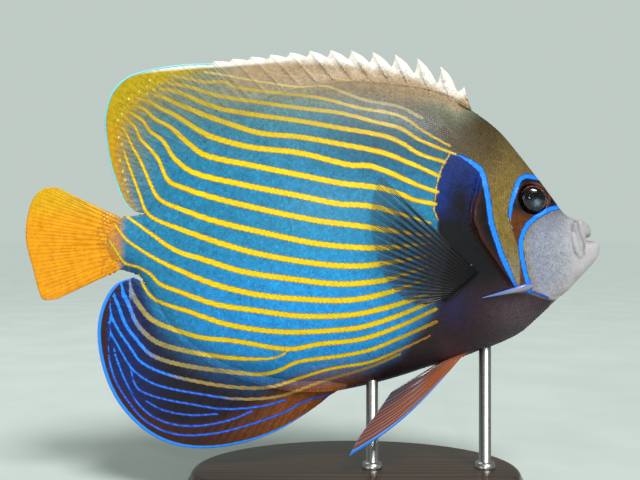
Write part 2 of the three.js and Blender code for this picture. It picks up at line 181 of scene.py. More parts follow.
def add_values(mesh, name, values):
    """Stores a number or a colour for each vertex."""
    if values.ndim == 1:
        mesh.attributes.new(name, "FLOAT", "POINT").data.foreach_set("value", values.astype(np.float32))
        return
    rgba = np.column_stack([values, np.ones(len(values))]).astype(np.float32)
    mesh.attributes.new(name, "FLOAT_COLOR", "POINT").data.foreach_set("color", rgba.ravel())


def placed(name, data):
    """An object of a mesh, a light or a camera, in the scene."""
    made = bpy.data.objects.new(name, data)
    bpy.context.scene.collection.objects.link(made)
    return made


def piece(name, mesh, material, slot, nodes=()):
    """Object of a mesh that rides on the fish and stands for CAD nodes."""
    made = placed(name, mesh)
    mesh.materials.clear()
    mesh.materials.append(material)
    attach(made, "root")
    if nodes:
        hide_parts(*nodes)


def loft(rings):
    """Closed surface through rings of points, with a point in the middle of each end ring."""
    count, sides, _ = rings.shape
    points = np.vstack([rings.reshape(-1, 3), rings[0].mean(axis=0), rings[-1].mean(axis=0)])
    sideways = np.arange(sides)
    beside = (sideways + 1) % sides
    low, high = count * sides, count * sides + 1
    last = (count - 1) * sides
    caps = [
        np.column_stack([np.full(sides, low), beside, sideways]),
        np.column_stack([np.full(sides, high), last + sideways, last + beside]),
    ]
    return points, np.vstack([grid_triangles(count, sides, wrapped=True), *caps])


# Form of the body

BACK_LINE = [
    (-79.5, 97), (-72.9, 98), (-70.3, 98.7), (-67, 103.3), (-63.2, 109.2), (-58.6, 116.8),
    (-53.1, 124.3), (-46.4, 131.5), (-37.2, 138.2), (-26.7, 143.6), (-14.1, 148.3), (-1.5, 151.2),
    (11.1, 152.9), (23.7, 152.9), (36.3, 151.6), (48.9, 149.5), (59.4, 145.7), (70.8, 138.6),
    (78.3, 132.3), (85, 124.3), (90.9, 116.8), (95.5, 111), (100.2, 104.6), (103.8, 99.7),
    (106.5, 97.4), (110, 96),
]
BELLY_LINE = [
    (-79.5, 74.6), (-72.9, 72.2), (-69.5, 67.6), (-65.3, 60.1), (-60.3, 51.7), (-54, 44.5),
    (-45.6, 37.8), (-35.1, 31.9), (-22.5, 27.7), (-9.9, 25.2), (1.9, 24.8), (15.3, 26),
    (31.3, 29.4), (44.7, 33.2), (59.4, 37.3), (69.9, 41.2), (78.3, 44.3), (86.7, 48.6),
    (94, 55), (101.8, 62.2), (107.7, 67.2), (110, 69.7),
]
HALF_WIDTH = [
    (-79.5, 4.2), (-66, 6), (-45, 9.5), (-20, 13.5), (10, 16.6), (40, 18), (62, 17.8), (78, 16),
    (90, 13.2), (100, 10), (106, 8), (110, 6.8),
]
SECTION_POWER = 2.2
SECTION_SHARPNESS = [(-79.5, 0.62), (40, 0.64), (75, 0.56), (110, 0.5)]
SKIN_DEPTH = 0.12  # the skin lies this far under the solids, which leaves room for the scales
TAIL_ROOT_X = -79.5
SKIN_END_X = -87.0
SNOUT_X = 110.0
SKIN_FRONT_X = 112.5

back = smooth(BACK_LINE)
belly = smooth(BELLY_LINE)
half_width = smooth(HALF_WIDTH)
sharpness = smooth(SECTION_SHARPNESS)

EYE_PLACE = np.array([89.1, 103.9])
EYE_RADIUS = 5.7
EYE_FLATNESS = 0.56
EYE_SINK = 1.0
NOSTRILS = np.array([(100.3, 100.8), (98.3, 102.7)])


def section(x):
    """Top, bottom and half width of the skin at x. Past both ends it closes as a quarter ellipse."""
    past = np.maximum((TAIL_ROOT_X - x) / (TAIL_ROOT_X - SKIN_END_X), 0)
    ahead = np.maximum((x - SNOUT_X) / (SKIN_FRONT_X - SNOUT_X), 0)
    closing = np.sqrt(np.clip(1 - past**2 - ahead**2, 0, 1))
    top = back(x) - SKIN_DEPTH - 5 * past - 2.5 * ahead
    bottom = belly(x) + SKIN_DEPTH + 5 * past + 3 * ahead
    return top, bottom, (half_width(x) - SKIN_DEPTH) * closing


def smooth_flank(x, z):
    """Half thickness of the skin with no relief: width times (1 - t ** 2.2) ** sharpness, where t
    is the height over the section's middle."""
    top, bottom, width = section(x)
    t = np.clip(np.abs((2 * z - top - bottom) / (top - bottom)), 0, 1)
    return width * (1 - t**SECTION_POWER) ** sharpness(x)


def photo_place(x, y, z):
    """Pixel at which a point of a flank shows: its place on the middle plane, moved away from the
    picture's middle by D / (D - |y|). Both flanks are treated alike."""
    nearer = CAMERA_DISTANCE / (CAMERA_DISTANCE - np.abs(y))
    px = PHOTO_MIDDLE[0] + (FISH_ORIGIN_PIXEL[0] + x / PIXEL - PHOTO_MIDDLE[0]) * nearer
    py = PHOTO_MIDDLE[1] + (FISH_ORIGIN_PIXEL[1] - z / PIXEL - PHOTO_MIDDLE[1]) * nearer
    return px, py


# Lines of the head as (px, py), from the top down.
REAR_BLUE = [
    (452, 154), (460, 156), (468, 160), (475, 165), (481, 170), (484, 178), (486, 188), (488, 198),
    (491, 222), (494, 232), (498, 244), (502, 256), (511, 276), (515, 285),
]
MASK_REAR = [(538, 178), (526, 176), (520, 179), (517, 185), (514, 195), (511, 205), (510, 216)]
MASK_FOOT = [(510, 214), (511, 224), (515, 238), (520, 252)]
FRONT_BLUE = [
    (562, 206), (550, 209), (543, 213), (535, 218), (528, 224), (524, 231), (521, 240), (521, 250),
    (523, 262), (525, 272), (528, 283), (529, 291),
]
PATCH_REAR = [(450, 154), (445, 162), (441, 170), (438, 180), (436, 190), (434, 210), (438, 220)]
GILL_OPENING = [(481, 178), (478, 193), (474, 205), (473, 220), (481, 240), (496, 262), (513, 286)]
CHEEK_FOOT = [(522, 291), (534, 292), (548, 298)]


def border(points):
    """px of a line at a height py. The line runs down the picture."""
    points = sorted((y, x) for x, y in points)
    return lambda py: np.interp(py, *np.array(points, float).T)


rear_blue_at = border(REAR_BLUE)
gill_at = border(GILL_OPENING)
front_blue_at = border(FRONT_BLUE)
mask_rear_at = border(MASK_REAR[1:] + MASK_FOOT[1:])
patch_rear_at = border(PATCH_REAR + [(436, 240), (428, 270), (426, 300), (432, 330)])

# Where the head's relief begins and ends, as rows and columns in pixels.
GILL_TOP_ROWS, GILL_FOOT_ROWS = (172, 188), (280, 291)
SEAM_TOP_ROWS, SEAM_FOOT_ROWS = (170, 190), (278, 288)
FOLD_MIDDLE, FOLD_COLUMNS = (578, 240), (560, 568)
CHEEK_RIM, CHEEK_COLUMNS = [(500, 293), (527, 292), (548, 299), (560, 301)], (505, 520)


def height(points):
    """py, or any second value, of a line at a px. The line runs across the picture."""
    return lambda px: np.interp(px, *np.array(points, float).T)


def eye_relief(x, z):
    """Rim of the eye socket, 0.5 mm high at 7.1 mm from its middle, and the socket inside it."""
    ring = np.hypot(x - EYE_PLACE[0], z - EYE_PLACE[1])
    return 0.5 * bell(ring, 7.1, 0.8) - 3.2 * (1 - step(ring, 5.75, 6.25))


def gill_relief(px, py):
    """The gill cover, 0.75 mm high at its rear edge, the slit behind it and the seam of the head."""
    ahead = (px - gill_at(py)) * PIXEL
    window = step(py, *GILL_TOP_ROWS) * (1 - step(py, *GILL_FOOT_ROWS))
    cover = step(ahead, -0.2, 0.5) * (1 - step(ahead, 3, 11))
    out = window * (0.75 * cover - 1.1 * bell(ahead, -0.9, 0.6))
    seam = bell((px - rear_blue_at(py)) * PIXEL, 0.3, 1.1)
    return out + 0.22 * seam * step(py, *SEAM_TOP_ROWS) * (1 - step(py, *SEAM_FOOT_ROWS))


def mouth_relief(px, py):
    """The fold round the corner of the mouth, an oval, and the lower cheek's edge."""
    fold = np.hypot((px - FOLD_MIDDLE[0]) * 0.9, (py - FOLD_MIDDLE[1]) * 0.36)
    out = step(px, *FOLD_COLUMNS) * (0.3 * (1 - step(fold, 4, 6.5)) - 0.45 * bell(fold, 6.6, 1.1))
    below = py - height(CHEEK_RIM)(px)
    return out + 0.6 * (1 - step(below, -1.5, 1.5)) * step(px, *CHEEK_COLUMNS) * step(below, -22, -6)


def relief(x, z, y):
    """How far the skin stands out of the smooth flank: eye socket, gill cover, mouth and nostrils."""
    px, py = photo_place(x, y, z)
    out = eye_relief(x, z) + gill_relief(px, py) + mouth_relief(px, py)
    for place in NOSTRILS:
        away = np.hypot(x - place[0], z - place[1])
        out += 0.4 * bell(away, 1.3, 0.45) - 1.1 * (1 - step(away, 0.45, 1.05))
    return out


def flank(x, z):
    """Half thickness of the skin with its relief, which fades towards the keels."""
    y = smooth_flank(x, z)
    return y + relief(x, z, y) * step(y, 1.0, 5.0)


def skin_rings():
    """Rings of the skin: z goes from bottom to top as (1 - cos turn) / 2, y is the flank."""
    turns = np.linspace(0, 2 * math.pi, 360, endpoint=False)
    up = (1 - np.cos(turns)) / 2
    side = np.where(np.sin(turns) >= 0, 1.0, -1.0)
    end = SKIN_END_X + 0.02
    tail = TAIL_ROOT_X - (TAIL_ROOT_X - end) * np.cos(np.linspace(0, math.pi / 2, 12))
    front = SNOUT_X + (SKIN_FRONT_X - 0.02 - SNOUT_X) * np.sin(np.linspace(0.2, math.pi / 2, 6))
    stations = np.concatenate([tail, np.linspace(-78.5, 60, 118), np.linspace(60.45, 110, 108), front])
    x = np.repeat(stations[:, None], len(turns), axis=1)
    top, bottom, _ = section(x)
    z = mix(bottom, top, up[None, :])
    return np.stack([x, side[None, :] * flank(x, z), z], axis=-1)


UPPER_LIP = [
    (103, 89.5, 96, 4.5), (107, 88.4, 96.6, 6.6), (110.3, 87.8, 95.8, 7.1), (112.2, 87.9, 95.3, 6.6),
    (113.9, 88.1, 94.3, 5.4), (115.3, 88.5, 92.7, 3.6), (115.9, 89.3, 91.4, 1.6),
]
LOWER_JAW = [
    (103, 72, 87, 4.5), (107.5, 69.6, 87.6, 6.8), (110.3, 70.6, 87.3, 7.1), (112.5, 73, 87.2, 6.8),
    (115, 75.6, 87.1, 6), (117.4, 78.3, 86.8, 4.6), (119.1, 80.9, 85.9, 2.9), (119.8, 82.5, 84.7, 1.4),
]
LIP_STEPS = 40
LIP_SIDES = 64


def lip_rings(stations):
    """Rings of a lip along x: each is a rounded box, (width * sin t, middle - height * cos t / 2) with
    |sin| and |cos| to the power 0.8."""
    stations = np.array(stations, float)
    x = mix(stations[0, 0], stations[-1, 0], np.sin(np.linspace(0, math.pi / 2, LIP_STEPS)))
    low, high, width = (smooth(stations[:, [0, i]])(x)[:, None] for i in (1, 2, 3))
    turns = np.linspace(0, 2 * math.pi, LIP_SIDES, endpoint=False)[None, :]
    rounded = lambda value: np.sign(value) * np.abs(value) ** 0.8
    y = width * rounded(np.sin(turns))
    z = mix(low, high, (1 - rounded(np.cos(turns))) / 2)
    return np.stack([np.broadcast_to(x[:, None], y.shape), y, z], axis=-1)


def ellipsoid(middle, radii, rings=24, sides=48):
    """Points middle + radii * (cos r, sin r cos t, sin r sin t), with a pole at each end of x."""
    polar = np.linspace(0.02, math.pi - 0.02, rings)[:, None]
    turns = np.linspace(0, 2 * math.pi, sides, endpoint=False)[None, :]
    wide = np.sin(polar)
    unit = np.stack([-np.cos(polar) + 0 * turns, wide * np.cos(turns), wide * np.sin(turns)], -1)
    return np.array(middle) + np.array(radii) * unit


def joined(parts):
    """One mesh of several closed surfaces, by Boolean unions."""
    objects = [placed("part", turned_out(mesh_of("part", *loft(rings)))) for rings in parts]
    for other in objects[1:]:
        union = objects[0].modifiers.new("union", "BOOLEAN")
        union.operation = "UNION"
        union.solver = "MANIFOLD"
        union.object = other
    seen = objects[0].evaluated_get(bpy.context.evaluated_depsgraph_get())
    mesh = bpy.data.meshes.new_from_object(seen)
    for made in objects:
        bpy.data.objects.remove(made)
    reworked(mesh, bmesh.ops.triangulate)
    mesh.shade_smooth()
    return mesh


def relax(mesh, wanted, rounds, strength):
    """Moves the wanted vertices towards the mean of their neighbours, round by round."""
    pairs = np.empty(len(mesh.edges) * 2, np.int32)
    mesh.edges.foreach_get("vertices", pairs)
    a, b = pairs.reshape(-1, 2).T
    points = places_of(mesh)
    amount = strength * wanted(points)[:, None]
    for _ in range(rounds):
        total, count = np.zeros_like(points), np.zeros(len(points))
        for one, other in ((a, b), (b, a)):
            for axis in range(3):
                total[:, axis] += np.bincount(one, points[other, axis], len(points))
            count += np.bincount(one, minlength=len(points))
        points += amount * (total / count[:, None] - points)
    set_places(mesh, points)
    mesh.update()


# Markings

YELLOW, OLIVE_YELLOW, PALE_YELLOW = map(colour, ("f4d400", "b8a42a", "e8df7a"))
KHAKI, PALE_KHAKI, FADED = map(colour, ("8c8c5a", "c8b46e", "54431c"))
LINE_BLUE, DEEP_LINE_BLUE, PALE_LINE_BLUE = map(colour, ("1e90ff", "3a66dc", "9fb4c8"))
RIM_BLUE, ORANGE_RIM, BLUE_RIM, CYAN_RIM = map(colour, ("2b8dff", "b87a12", "15309a", "8fe6ee"))
TEAL, MID_BLUE, BRIGHT_BLUE, DEEP_SEA = map(colour, ("3a7a8c", "2080aa", "1c8fd6", "164674"))
TAN, OLIVE_GREY, WHITE, NAPE = map(colour, ("ab9170", "858868", "ece6dd", "68562f"))
OLIVE, OLIVE_BRIGHT, WASHED_OLIVE = map(colour, ("7a6436", "887334", "8c8a78"))
GREY, COOL_GREY, LIP_GREY, CHIN, PINK = map(colour, ("a8aab5", "8c92aa", "bab4b6", "d2c2c6", "9c5c48"))
MASK_BLACK, MASK_BROWN, EYE_BROWN = map(colour, ("140b0a", "643510", "7a3f30"))
NAVY, PATCH_BLACK, GILL_BROWN, GILL_BLACK = map(colour, ("02348e", "06040a", "3c1810", "0e0a0a"))
BREAST, BREAST_GREY, BREAST_RED, UNDERSIDE = map(colour, ("2e161e", "584850", "56323a", "2c1d22"))
FIN_NAVY, FIN_BLACK, RUST, RUST_DARK = map(colour, ("0a2260", "120c18", "7c4210", "36160a"))
FIN_YELLOW, FIN_ORANGE = map(colour, ("b89c00", "cc9600"))
TAIL_ORANGE, TAIL_YELLOW, TAIL_ROOT = map(colour, ("ec9a00", "dca800", "94705a"))

# Each stripe: half width in mm, px up to which it is blue, px from which it is yellow, and places.
NEVER, ALWAYS = 999, -99
STRIPES = [
    (0.32, ALWAYS, NEVER, [(265, 70), (280, 75), (300, 76), (305, 73), (320, 75), (335, 78), (350, 81)]),
    (0.5, ALWAYS, 460, [(205, 72), (230, 76), (250, 80), (270, 83), (300, 87), (325, 86), (340, 91),
                        (365, 100), (400, 107), (422, 118)]),
    (0.58, ALWAYS, 160, [(170, 75), (190, 79), (205, 82), (225, 82), (235, 87), (270, 92), (320, 98),
                         (360, 108), (400, 116), (425, 132), (450, 146)]),
    (0.72, ALWAYS, 120, [(168, 83), (185, 86), (200, 90), (215, 95), (250, 101), (300, 108), (340, 113),
                        (380, 123), (400, 128), (420, 140), (455, 154)]),
    (0.88, ALWAYS, 120, [(160, 89), (175, 91), (190, 97), (218, 108), (250, 114), (300, 121), (340, 128),
                        (380, 135), (400, 142), (420, 154), (445, 162)]),
    (1.0, ALWAYS, 120, [(155, 95), (165, 98), (180, 105), (210, 117), (230, 124), (260, 133), (300, 137),
                         (340, 144), (380, 152), (410, 163), (439, 176)]),
    (1.08, ALWAYS, 120, [(136, 98), (148, 101), (160, 108), (175, 115), (200, 131), (212, 137), (250, 147),
                         (300, 153), (350, 165), (370, 166), (400, 177), (415, 184), (437, 192)]),
    (1.1, ALWAYS, 120, [(132, 105), (145, 110), (155, 119), (170, 127), (188, 143), (205, 155), (250, 165),
                        (300, 175), (340, 183), (380, 188), (400, 194), (415, 200), (435, 204)]),
    (1.1, ALWAYS, 110, [(130, 112), (142, 120), (150, 131), (162, 140), (176, 160), (195, 173), (240, 184),
                        (300, 196), (340, 204), (360, 205), (380, 208), (400, 214), (430, 223)]),
    (1.1, ALWAYS, 110, [(125, 118), (135, 127), (140, 138), (150, 149), (158, 159), (168, 180), (178, 186),
                        (215, 198), (270, 211), (320, 221), (360, 226), (400, 232), (430, 236)]),
    (1.1, ALWAYS, 110, [(122, 127), (127, 135), (133, 148), (140, 160), (151, 185), (156, 195), (162, 201),
                        (175, 207), (215, 221), (270, 234), (320, 244), (380, 248), (430, 243)]),
    (1.1, ALWAYS, 110, [(124, 152), (129, 166), (135, 182), (141, 198), (146, 211), (155, 219), (180, 229),
                        (220, 243), (260, 254), (320, 264), (360, 266), (400, 261), (430, 255)]),
    (1.1, ALWAYS, 100, [(124, 215), (132, 220), (150, 233), (175, 250), (205, 260), (245, 272), (300, 280),
                        (340, 284), (380, 281), (400, 276), (430, 266)]),
    (1.1, ALWAYS, 100, [(115, 224), (124, 237), (135, 246), (158, 260), (190, 275), (220, 286), (260, 295),
                        (300, 299), (350, 300), (390, 292), (430, 278)]),
    (1.05, ALWAYS, 100, [(109, 240), (117, 252), (125, 263), (138, 267), (150, 274), (160, 284), (178, 291),
                         (215, 304), (260, 311), (300, 316), (350, 315), (385, 308), (420, 297), (436, 290)]),
    (1.0, ALWAYS, 100, [(139, 276), (144, 286), (150, 295), (160, 302), (190, 312), (230, 325), (285, 332),
                        (350, 329), (370, 325), (400, 315), (438, 299)]),
    (0.92, 128, 165, [(129, 278), (131, 290), (137, 302), (150, 318), (165, 326), (200, 337), (235, 341),
                      (288, 349), (320, 344), (362, 339), (400, 326), (436, 309)]),
    (0.85, 136, 200, [(121, 283), (123, 292), (128, 303), (138, 325), (155, 341), (178, 349), (215, 356),
                      (250, 359), (274, 358), (284, 354), (288, 349)]),
    (0.75, 150, 260, [(114, 296), (118, 305), (126, 325), (137, 340), (150, 354), (170, 362), (200, 368),
                      (255, 374), (275, 372), (298, 362), (340, 356), (370, 350), (400, 338), (436, 322)]),
    (0.6, 175, 290, [(110, 307), (111, 315), (119, 331), (130, 347), (140, 361), (158, 371), (185, 379),
                     (233, 387), (270, 387), (300, 378), (330, 369), (370, 362), (400, 350), (430, 336)]),
    (0.48, 225, 420, [(109, 323), (110, 331), (117, 344), (130, 366), (143, 378), (160, 386), (200, 394),
                      (240, 399), (280, 396), (320, 382), (370, 367), (400, 354)]),
    (0.45, NEVER, NEVER, [(130, 366), (135, 384), (141, 391), (160, 398), (190, 404), (225, 409), (262, 406),
                          (285, 400)]),
    (0.42, NEVER, NEVER, [(146, 401), (163, 410), (190, 415), (217, 414)]),
    (0.45, NEVER, NEVER, [(114, 349), (116, 357), (126, 382), (142, 408), (165, 422), (195, 426), (230, 420),
                          (252, 411)]),
    (0.45, NEVER, NEVER, [(108, 331), (108.5, 352), (114, 377), (127, 400), (147, 422), (175, 434),
                          (210, 434), (245, 426), (285, 412), (303, 402), (330, 394)]),
]
STRIPE_SAMPLES = 90
DOTS = [
    (139, 83), (147, 87), (158, 83), (150, 80), (154, 90), (147, 94), (139, 91), (129, 99), (125, 108),
    (122, 114), (118, 120), (119, 137), (122, 144), (120, 160), (123, 171), (125, 180), (128, 192),
]
NOTCH_LINE = [
    (200, 66), (243, 63), (303, 62), (345, 66), (389, 73), (413, 79), (437, 89), (457, 99), (470, 96),
    (486, 84), (560, 60),
]
DORSAL_YELLOW = [
    (230, 58), (215, 64), (195, 70), (168, 80), (150, 89), (138, 100), (129, 112), (123, 125), (119, 150),
    (121, 175), (127, 196), (136, 214), (140, 222),
]
FLANK_FOOT = [
    (95, 262), (122, 268), (138, 274), (146, 296), (158, 322), (185, 346), (215, 362), (250, 374), (290, 379),
    (330, 375), (370, 368), (400, 352), (425, 322), (450, 290),
]
ANAL_EDGE = [
    (385, 380), (345, 389), (322, 401), (300, 418), (275, 433), (245, 443), (210, 448), (180, 446),
    (155, 437), (135, 422), (118, 402), (106, 378), (99, 350), (98, 325), (103, 300), (111, 283),
]
DORSAL_EDGE = [
    (330, 52), (304, 51), (260, 56), (222, 60), (200, 62), (180, 65), (160, 68), (140, 72), (128, 75),
]
MOUTH_FOLD = [
    (574, 221), (572, 230), (572, 240), (575, 252), (580, 259), (584, 254), (584, 244), (580, 234),
    (578, 224), (574, 221),
]
OLIVE_REAR = [(352, 55), (390, 95), (420, 118), (450, 150), (453, 154)] + REAR_BLUE[1:] + [(520, 300)]


def from_spot(px, py, spot, flatness=1.0):
    """Distance in pixels from a spot, with heights times `flatness`."""
    return np.hypot(px - spot[0], (py - spot[1]) * flatness)


def line_distance(px, py, points):
    """Distance in pixels from a line through points, as the least over its straight pieces."""
    nearest = np.full(len(px), np.inf)
    for (ax, ay), (bx, by) in zip(points[:-1], points[1:]):
        length = max((bx - ax) ** 2 + (by - ay) ** 2, 1e-9)
        t = np.clip(((px - ax) * (bx - ax) + (py - ay) * (by - ay)) / length, 0, 1)
        nearest = np.minimum(nearest, np.hypot(px - ax - t * (bx - ax), py - ay - t * (by - ay)))
    return nearest


def stripe_distance(px, py, points):
    """Distance in pixels from a stripe that runs along px: the difference in height, times the
    cosine of the stripe's slope, and past its ends the distance from the end."""
    curve = along(points)(np.linspace(0, 1, STRIPE_SAMPLES))
    slope = np.gradient(curve[:, 1], curve[:, 0])
    drop = np.abs(py - np.interp(px, curve[:, 0], curve[:, 1]))
    away = drop / np.sqrt(1 + np.interp(px, curve[:, 0], slope) ** 2)
    past = np.maximum(curve[0, 0] - px, px - curve[-1, 0])
    end = np.where(px < curve[0, 0], curve[0, 1], curve[-1, 1])
    return np.where(past > 0, np.hypot(past, py - end), away)


# Where the lines' own colours and widths change, as rows and columns in pixels.
GOLDEN_ROWS, FADED_ROWS, DEEPER_ROWS = (92, 178), (108, 84), (340, 420)
DULL_COLUMNS, OLIVE_COLUMNS, OLIVE_ROWS, RUSTED_COLUMNS = (425, 450), (385, 430), (150, 114), (250, 340)
LOST_CORNER, LOST_COLUMNS, LOST_ROWS = 340, (375, 440), (296, 322)
THIN_COLUMNS, THIN_FRONT, PATCH_FRONT, TAN_RIM_ROWS, TAN_RIM_START = (120, 215), 60, 432, (104, 80), 150
HEAD_START, RISING_COLUMNS, FALLING_ROWS = 430, (450, 480), (262, 287)
MASK_THIN_ROWS, MASK_END_ROWS = (195, 216), (252, 225)


def gold_at(px, py):
    """Yellow of the stripes: duller on the back, next to the patch and towards the breast."""
    gold = spread(evenly(OLIVE_YELLOW, px), YELLOW, step(py, *GOLDEN_ROWS))
    gold = spread(gold, OLIVE_YELLOW, step(px, *DULL_COLUMNS) * 0.5)
    lost = step(px - 0.9 * (LOST_CORNER - py), *LOST_COLUMNS) * step(py, *LOST_ROWS)
    gold = spread(gold, FADED, lost)
    return spread(gold, OLIVE, step(px, *OLIVE_COLUMNS) * step(py, *OLIVE_ROWS) * 0.8)


def stripe_width(px, half, blue_until, yellow_from, last):
    """Half width of a stripe in mm: thinner at its rear end, and at its front end where it is yellow."""
    width = 1.14 * half * (mix(0.5, 1, step(px, *THIN_COLUMNS)) if blue_until == ALWAYS else 1)
    if yellow_from < last:
        width = width * mix(1, 0.75 if last > PATCH_FRONT else 0.5, step(px, last - THIN_FRONT, last))
    return width


def stripe_paint(px, py, blue_until, yellow_from, gold):
    """Colours of a stripe and of its rim: from blue through khaki to yellow, along px."""
    paint = spread(evenly(LINE_BLUE, px), DEEP_LINE_BLUE, step(py, *DEEPER_ROWS) * 0.8)
    faded = spread(evenly(KHAKI, px), PALE_KHAKI, step(py, *FADED_ROWS))
    paint = spread(paint, faded, step(px, blue_until - 12, blue_until + 12))
    if yellow_from != NEVER:
        paint = spread(paint, gold, step(px, yellow_from - 40, yellow_from + 40))
    if blue_until == NEVER:
        paint = spread(paint, paint * 0.35 + 0.3 * RUST, step(px, *RUSTED_COLUMNS) * 0.7)
    rim = spread(evenly(BLUE_RIM, px), ORANGE_RIM, step(px, blue_until - 10, blue_until + 30))
    return paint, spread(rim, TAN, step(py - 0.12 * (px - TAN_RIM_START), *TAN_RIM_ROWS))


def head_lines(px, py):
    """Lines of the head: their points, half widths in mm, colours and rims."""
    rising = mix(0.25, 1.2, step(px, *RISING_COLUMNS)) * mix(1, 0.55, step(py, *FALLING_ROWS))
    return [
        (REAR_BLUE, rising, LINE_BLUE, BLUE_RIM),
        (MASK_REAR, mix(1.05, 0.85, step(py, *MASK_THIN_ROWS)), LINE_BLUE, BLUE_RIM),
        (MASK_FOOT, 0.3 * step(py, *MASK_END_ROWS), PALE_LINE_BLUE, MASK_BROWN),
        (FRONT_BLUE, 1.08, LINE_BLUE, BLUE_RIM),
        (CHEEK_FOOT, 0.5, DEEP_LINE_BLUE, BLUE_RIM),
        (PATCH_REAR, 0.5, PALE_KHAKI, FADED),
    ]


def lines_at(px, py):
    """How far inside a line each point is, in millimetres, with the line's colour and its edge's.
    Where lines meet, the one that the point is deepest in shows."""
    inside = np.full(len(px), -FAR)
    core, edge = evenly(YELLOW, px), evenly(ORANGE_RIM, px)

    def draw(depth, paint, rim):
        nonlocal inside
        better = depth > inside
        inside = np.where(better, depth, inside)
        core[better] = np.broadcast_to(paint, core.shape)[better]
        edge[better] = np.broadcast_to(rim, edge.shape)[better]

    gold = gold_at(px, py)
    for half, blue_until, yellow_from, points in STRIPES:
        width = stripe_width(px, half, blue_until, yellow_from, points[-1][0])
        paint, rim = stripe_paint(px, py, blue_until, yellow_from, gold)
        draw(width - stripe_distance(px, py, points) * PIXEL, paint, rim)
    for dot in DOTS:
        draw(0.62 - from_spot(px, py, dot, 0.8) * PIXEL, PALE_YELLOW, FIN_YELLOW)
    head = px > HEAD_START
    for points, half, paint, rim in head_lines(px[head], py[head]):
        depth = np.full(len(px), -FAR)
        depth[head] = half - line_distance(px[head], py[head], points) * PIXEL
        draw(depth, paint, rim)
    return inside, core, edge


# Where one colour gives way to the next, as rows (py), columns (px) or places (px, py).
TEAL_ROWS, BRIGHT_ROWS, BRIGHT_COLUMNS = (105, 190), (225, 330), (130, 230)
REAR_TEAL_COLUMNS, REAR_TEAL_ROWS, LIGHT_AND_HIGHLIGHT_SPOT = (190, 125), (235, 200), (320, 265)
YELLOW_FOOT, YELLOW_REAR, YELLOW_DEEPENS, DUSTED_ROWS = (218, 212), (98, 100), (85, 165), (205, 150)
TAIL_FIN_ROOT = [(124, 200), (124, 215), (125, 238), (124, 258), (124, 290)]
TAIL_FIN_TOP, TAIL_FIN_FOOT, TAIL_SPOT, TAIL_TOP_ROWS = (180, 184), (305, 298), (119, 238), (228, 195)
TAIL_LOWER_EDGE, TAIL_LOWER_START = [(90, 286), (122, 270)], (92, 96)
TAIL_UPPER_EDGE, TAIL_UPPER_START = [(98, 202), (124, 214)], (100, 102)
ANAL_FIN_WINDOW, ANAL_NAVY_COLUMNS = (400, 265), (178, 118)
ANAL_RIM_DEPTH = [(98, 7), (130, 12), (200, 26), (300, 46), (350, 60)]
RUST_COLUMNS, BELLY_COLUMNS = (190, 300), (335, 385)
PATCH_TOP, PATCH_SOFT_ROWS, PATCH_MIDDLE, PATCH_BLACK_ROWS = (150, 157), (225, 260), (461, 203), (196, 228)
GILL_ROWS, GILL_BROWN_ROWS, BREAST_ROWS = (178, 190), (185, 200), (270, 305)
NAVY_SPOT, BREAST_SPOT, BREAST_RED_START = (452, 306), (520, 318), (450, 330)
OLIVE_SOFTNESS = [(60, 26), (118, 22), (148, 10), (156, 0.8)]
CHEEK_EDGE = [(500, 290), (527, 292), (548, 299)]
NAPE_ROWS, BRIGHT_CHEEK, WASHED_ROWS = (130, 190), (500, 215), (240, 285)
SHADED_COLUMNS, SHADED_FRONT, SHADED_ROWS = (290, 380), (515, 488), (205, 140)
CREST_COLUMNS, TAN_FRONT_COLUMNS, WHITE_COLUMNS, TOP_WINDOW = (205, 250), (395, 440), (205, 240), (345, 110)
WHITE_RIM_DEPTH = [(125, 0.5), (150, 2.5), (180, 5), (215, 7), (260, 8)]
MASK_TOP, MASK_FOOT_ROWS, MASK_BROWN_START = [(526, 177), (538, 178), (560, 196)], (294, 288), (515, 205)
SNOUT_TOP, SNOUT_FOOT, LIP_COLUMNS = (204, 208), [(529, 292), (550, 299), (570, 301)], (555, 582)
SNOUT_SHADE_ROWS = (242, 210)
CHIN_START, MOUTH_CORNER, FOLD_START = (560, 268), (591, 238.5), 560


def flank_ground(px, py, under):
    """Blue of the flank: teal above and to the rear, brighter below, lighter round the middle
    (partly its own colour, partly a painted highlight), greyed under the spiny dorsal fin."""
    paint = spread(evenly(TEAL, px), MID_BLUE, step(py, *TEAL_ROWS))
    paint = spread(paint, BRIGHT_BLUE, step(py, *BRIGHT_ROWS) * step(px, *BRIGHT_COLUMNS))
    paint = spread(paint, TEAL, step(px, *REAR_TEAL_COLUMNS) * step(py, *REAR_TEAL_ROWS) * 0.5)
    paint = spread(paint, OLIVE_GREY, (1 - step(under, 18, 66)) * 0.85)
    # Lighter round the middle: partly the flank's own colour, partly a painted highlight where the flash
    # falls.
    tone_and_highlight = bell(from_spot(px, py, LIGHT_AND_HIGHLIGHT_SPOT), 0, 85) * step(px, *BRIGHT_COLUMNS)
    return paint * (1 + 0.28 * tone_and_highlight)[:, None]


def soft_dorsal_ground(px, py, paint):
    """Yellow of the soft dorsal fin's rear, deeper below, which dusts the blue ahead of it."""
    edge = border(DORSAL_YELLOW)(py)
    gold = spread(evenly(FIN_YELLOW, px), FIN_ORANGE, step(py, *YELLOW_DEEPENS))
    paint = spread(paint, FIN_YELLOW * 0.8, 0.5 * step(px, edge + 40, edge + 5) * step(py, *DUSTED_ROWS))
    share = step(px, edge + 12, edge - 7) * step(py, *YELLOW_FOOT) * step(px, *YELLOW_REAR)
    return spread(paint, gold, share)


def tail_share(px, py):
    """Share of the tail fin's colour: behind its root and between its two edges."""
    root = border(TAIL_FIN_ROOT)(py)
    share = step(px, root + 3, root - 8) * step(py, *TAIL_FIN_TOP) * step(py, *TAIL_FIN_FOOT)
    share *= 1 - step(py - height(TAIL_LOWER_EDGE)(px), 0, 2) * step(px, *TAIL_LOWER_START)
    return share * (1 - step(height(TAIL_UPPER_EDGE)(px) - py, 0, 2) * step(px, *TAIL_UPPER_START))


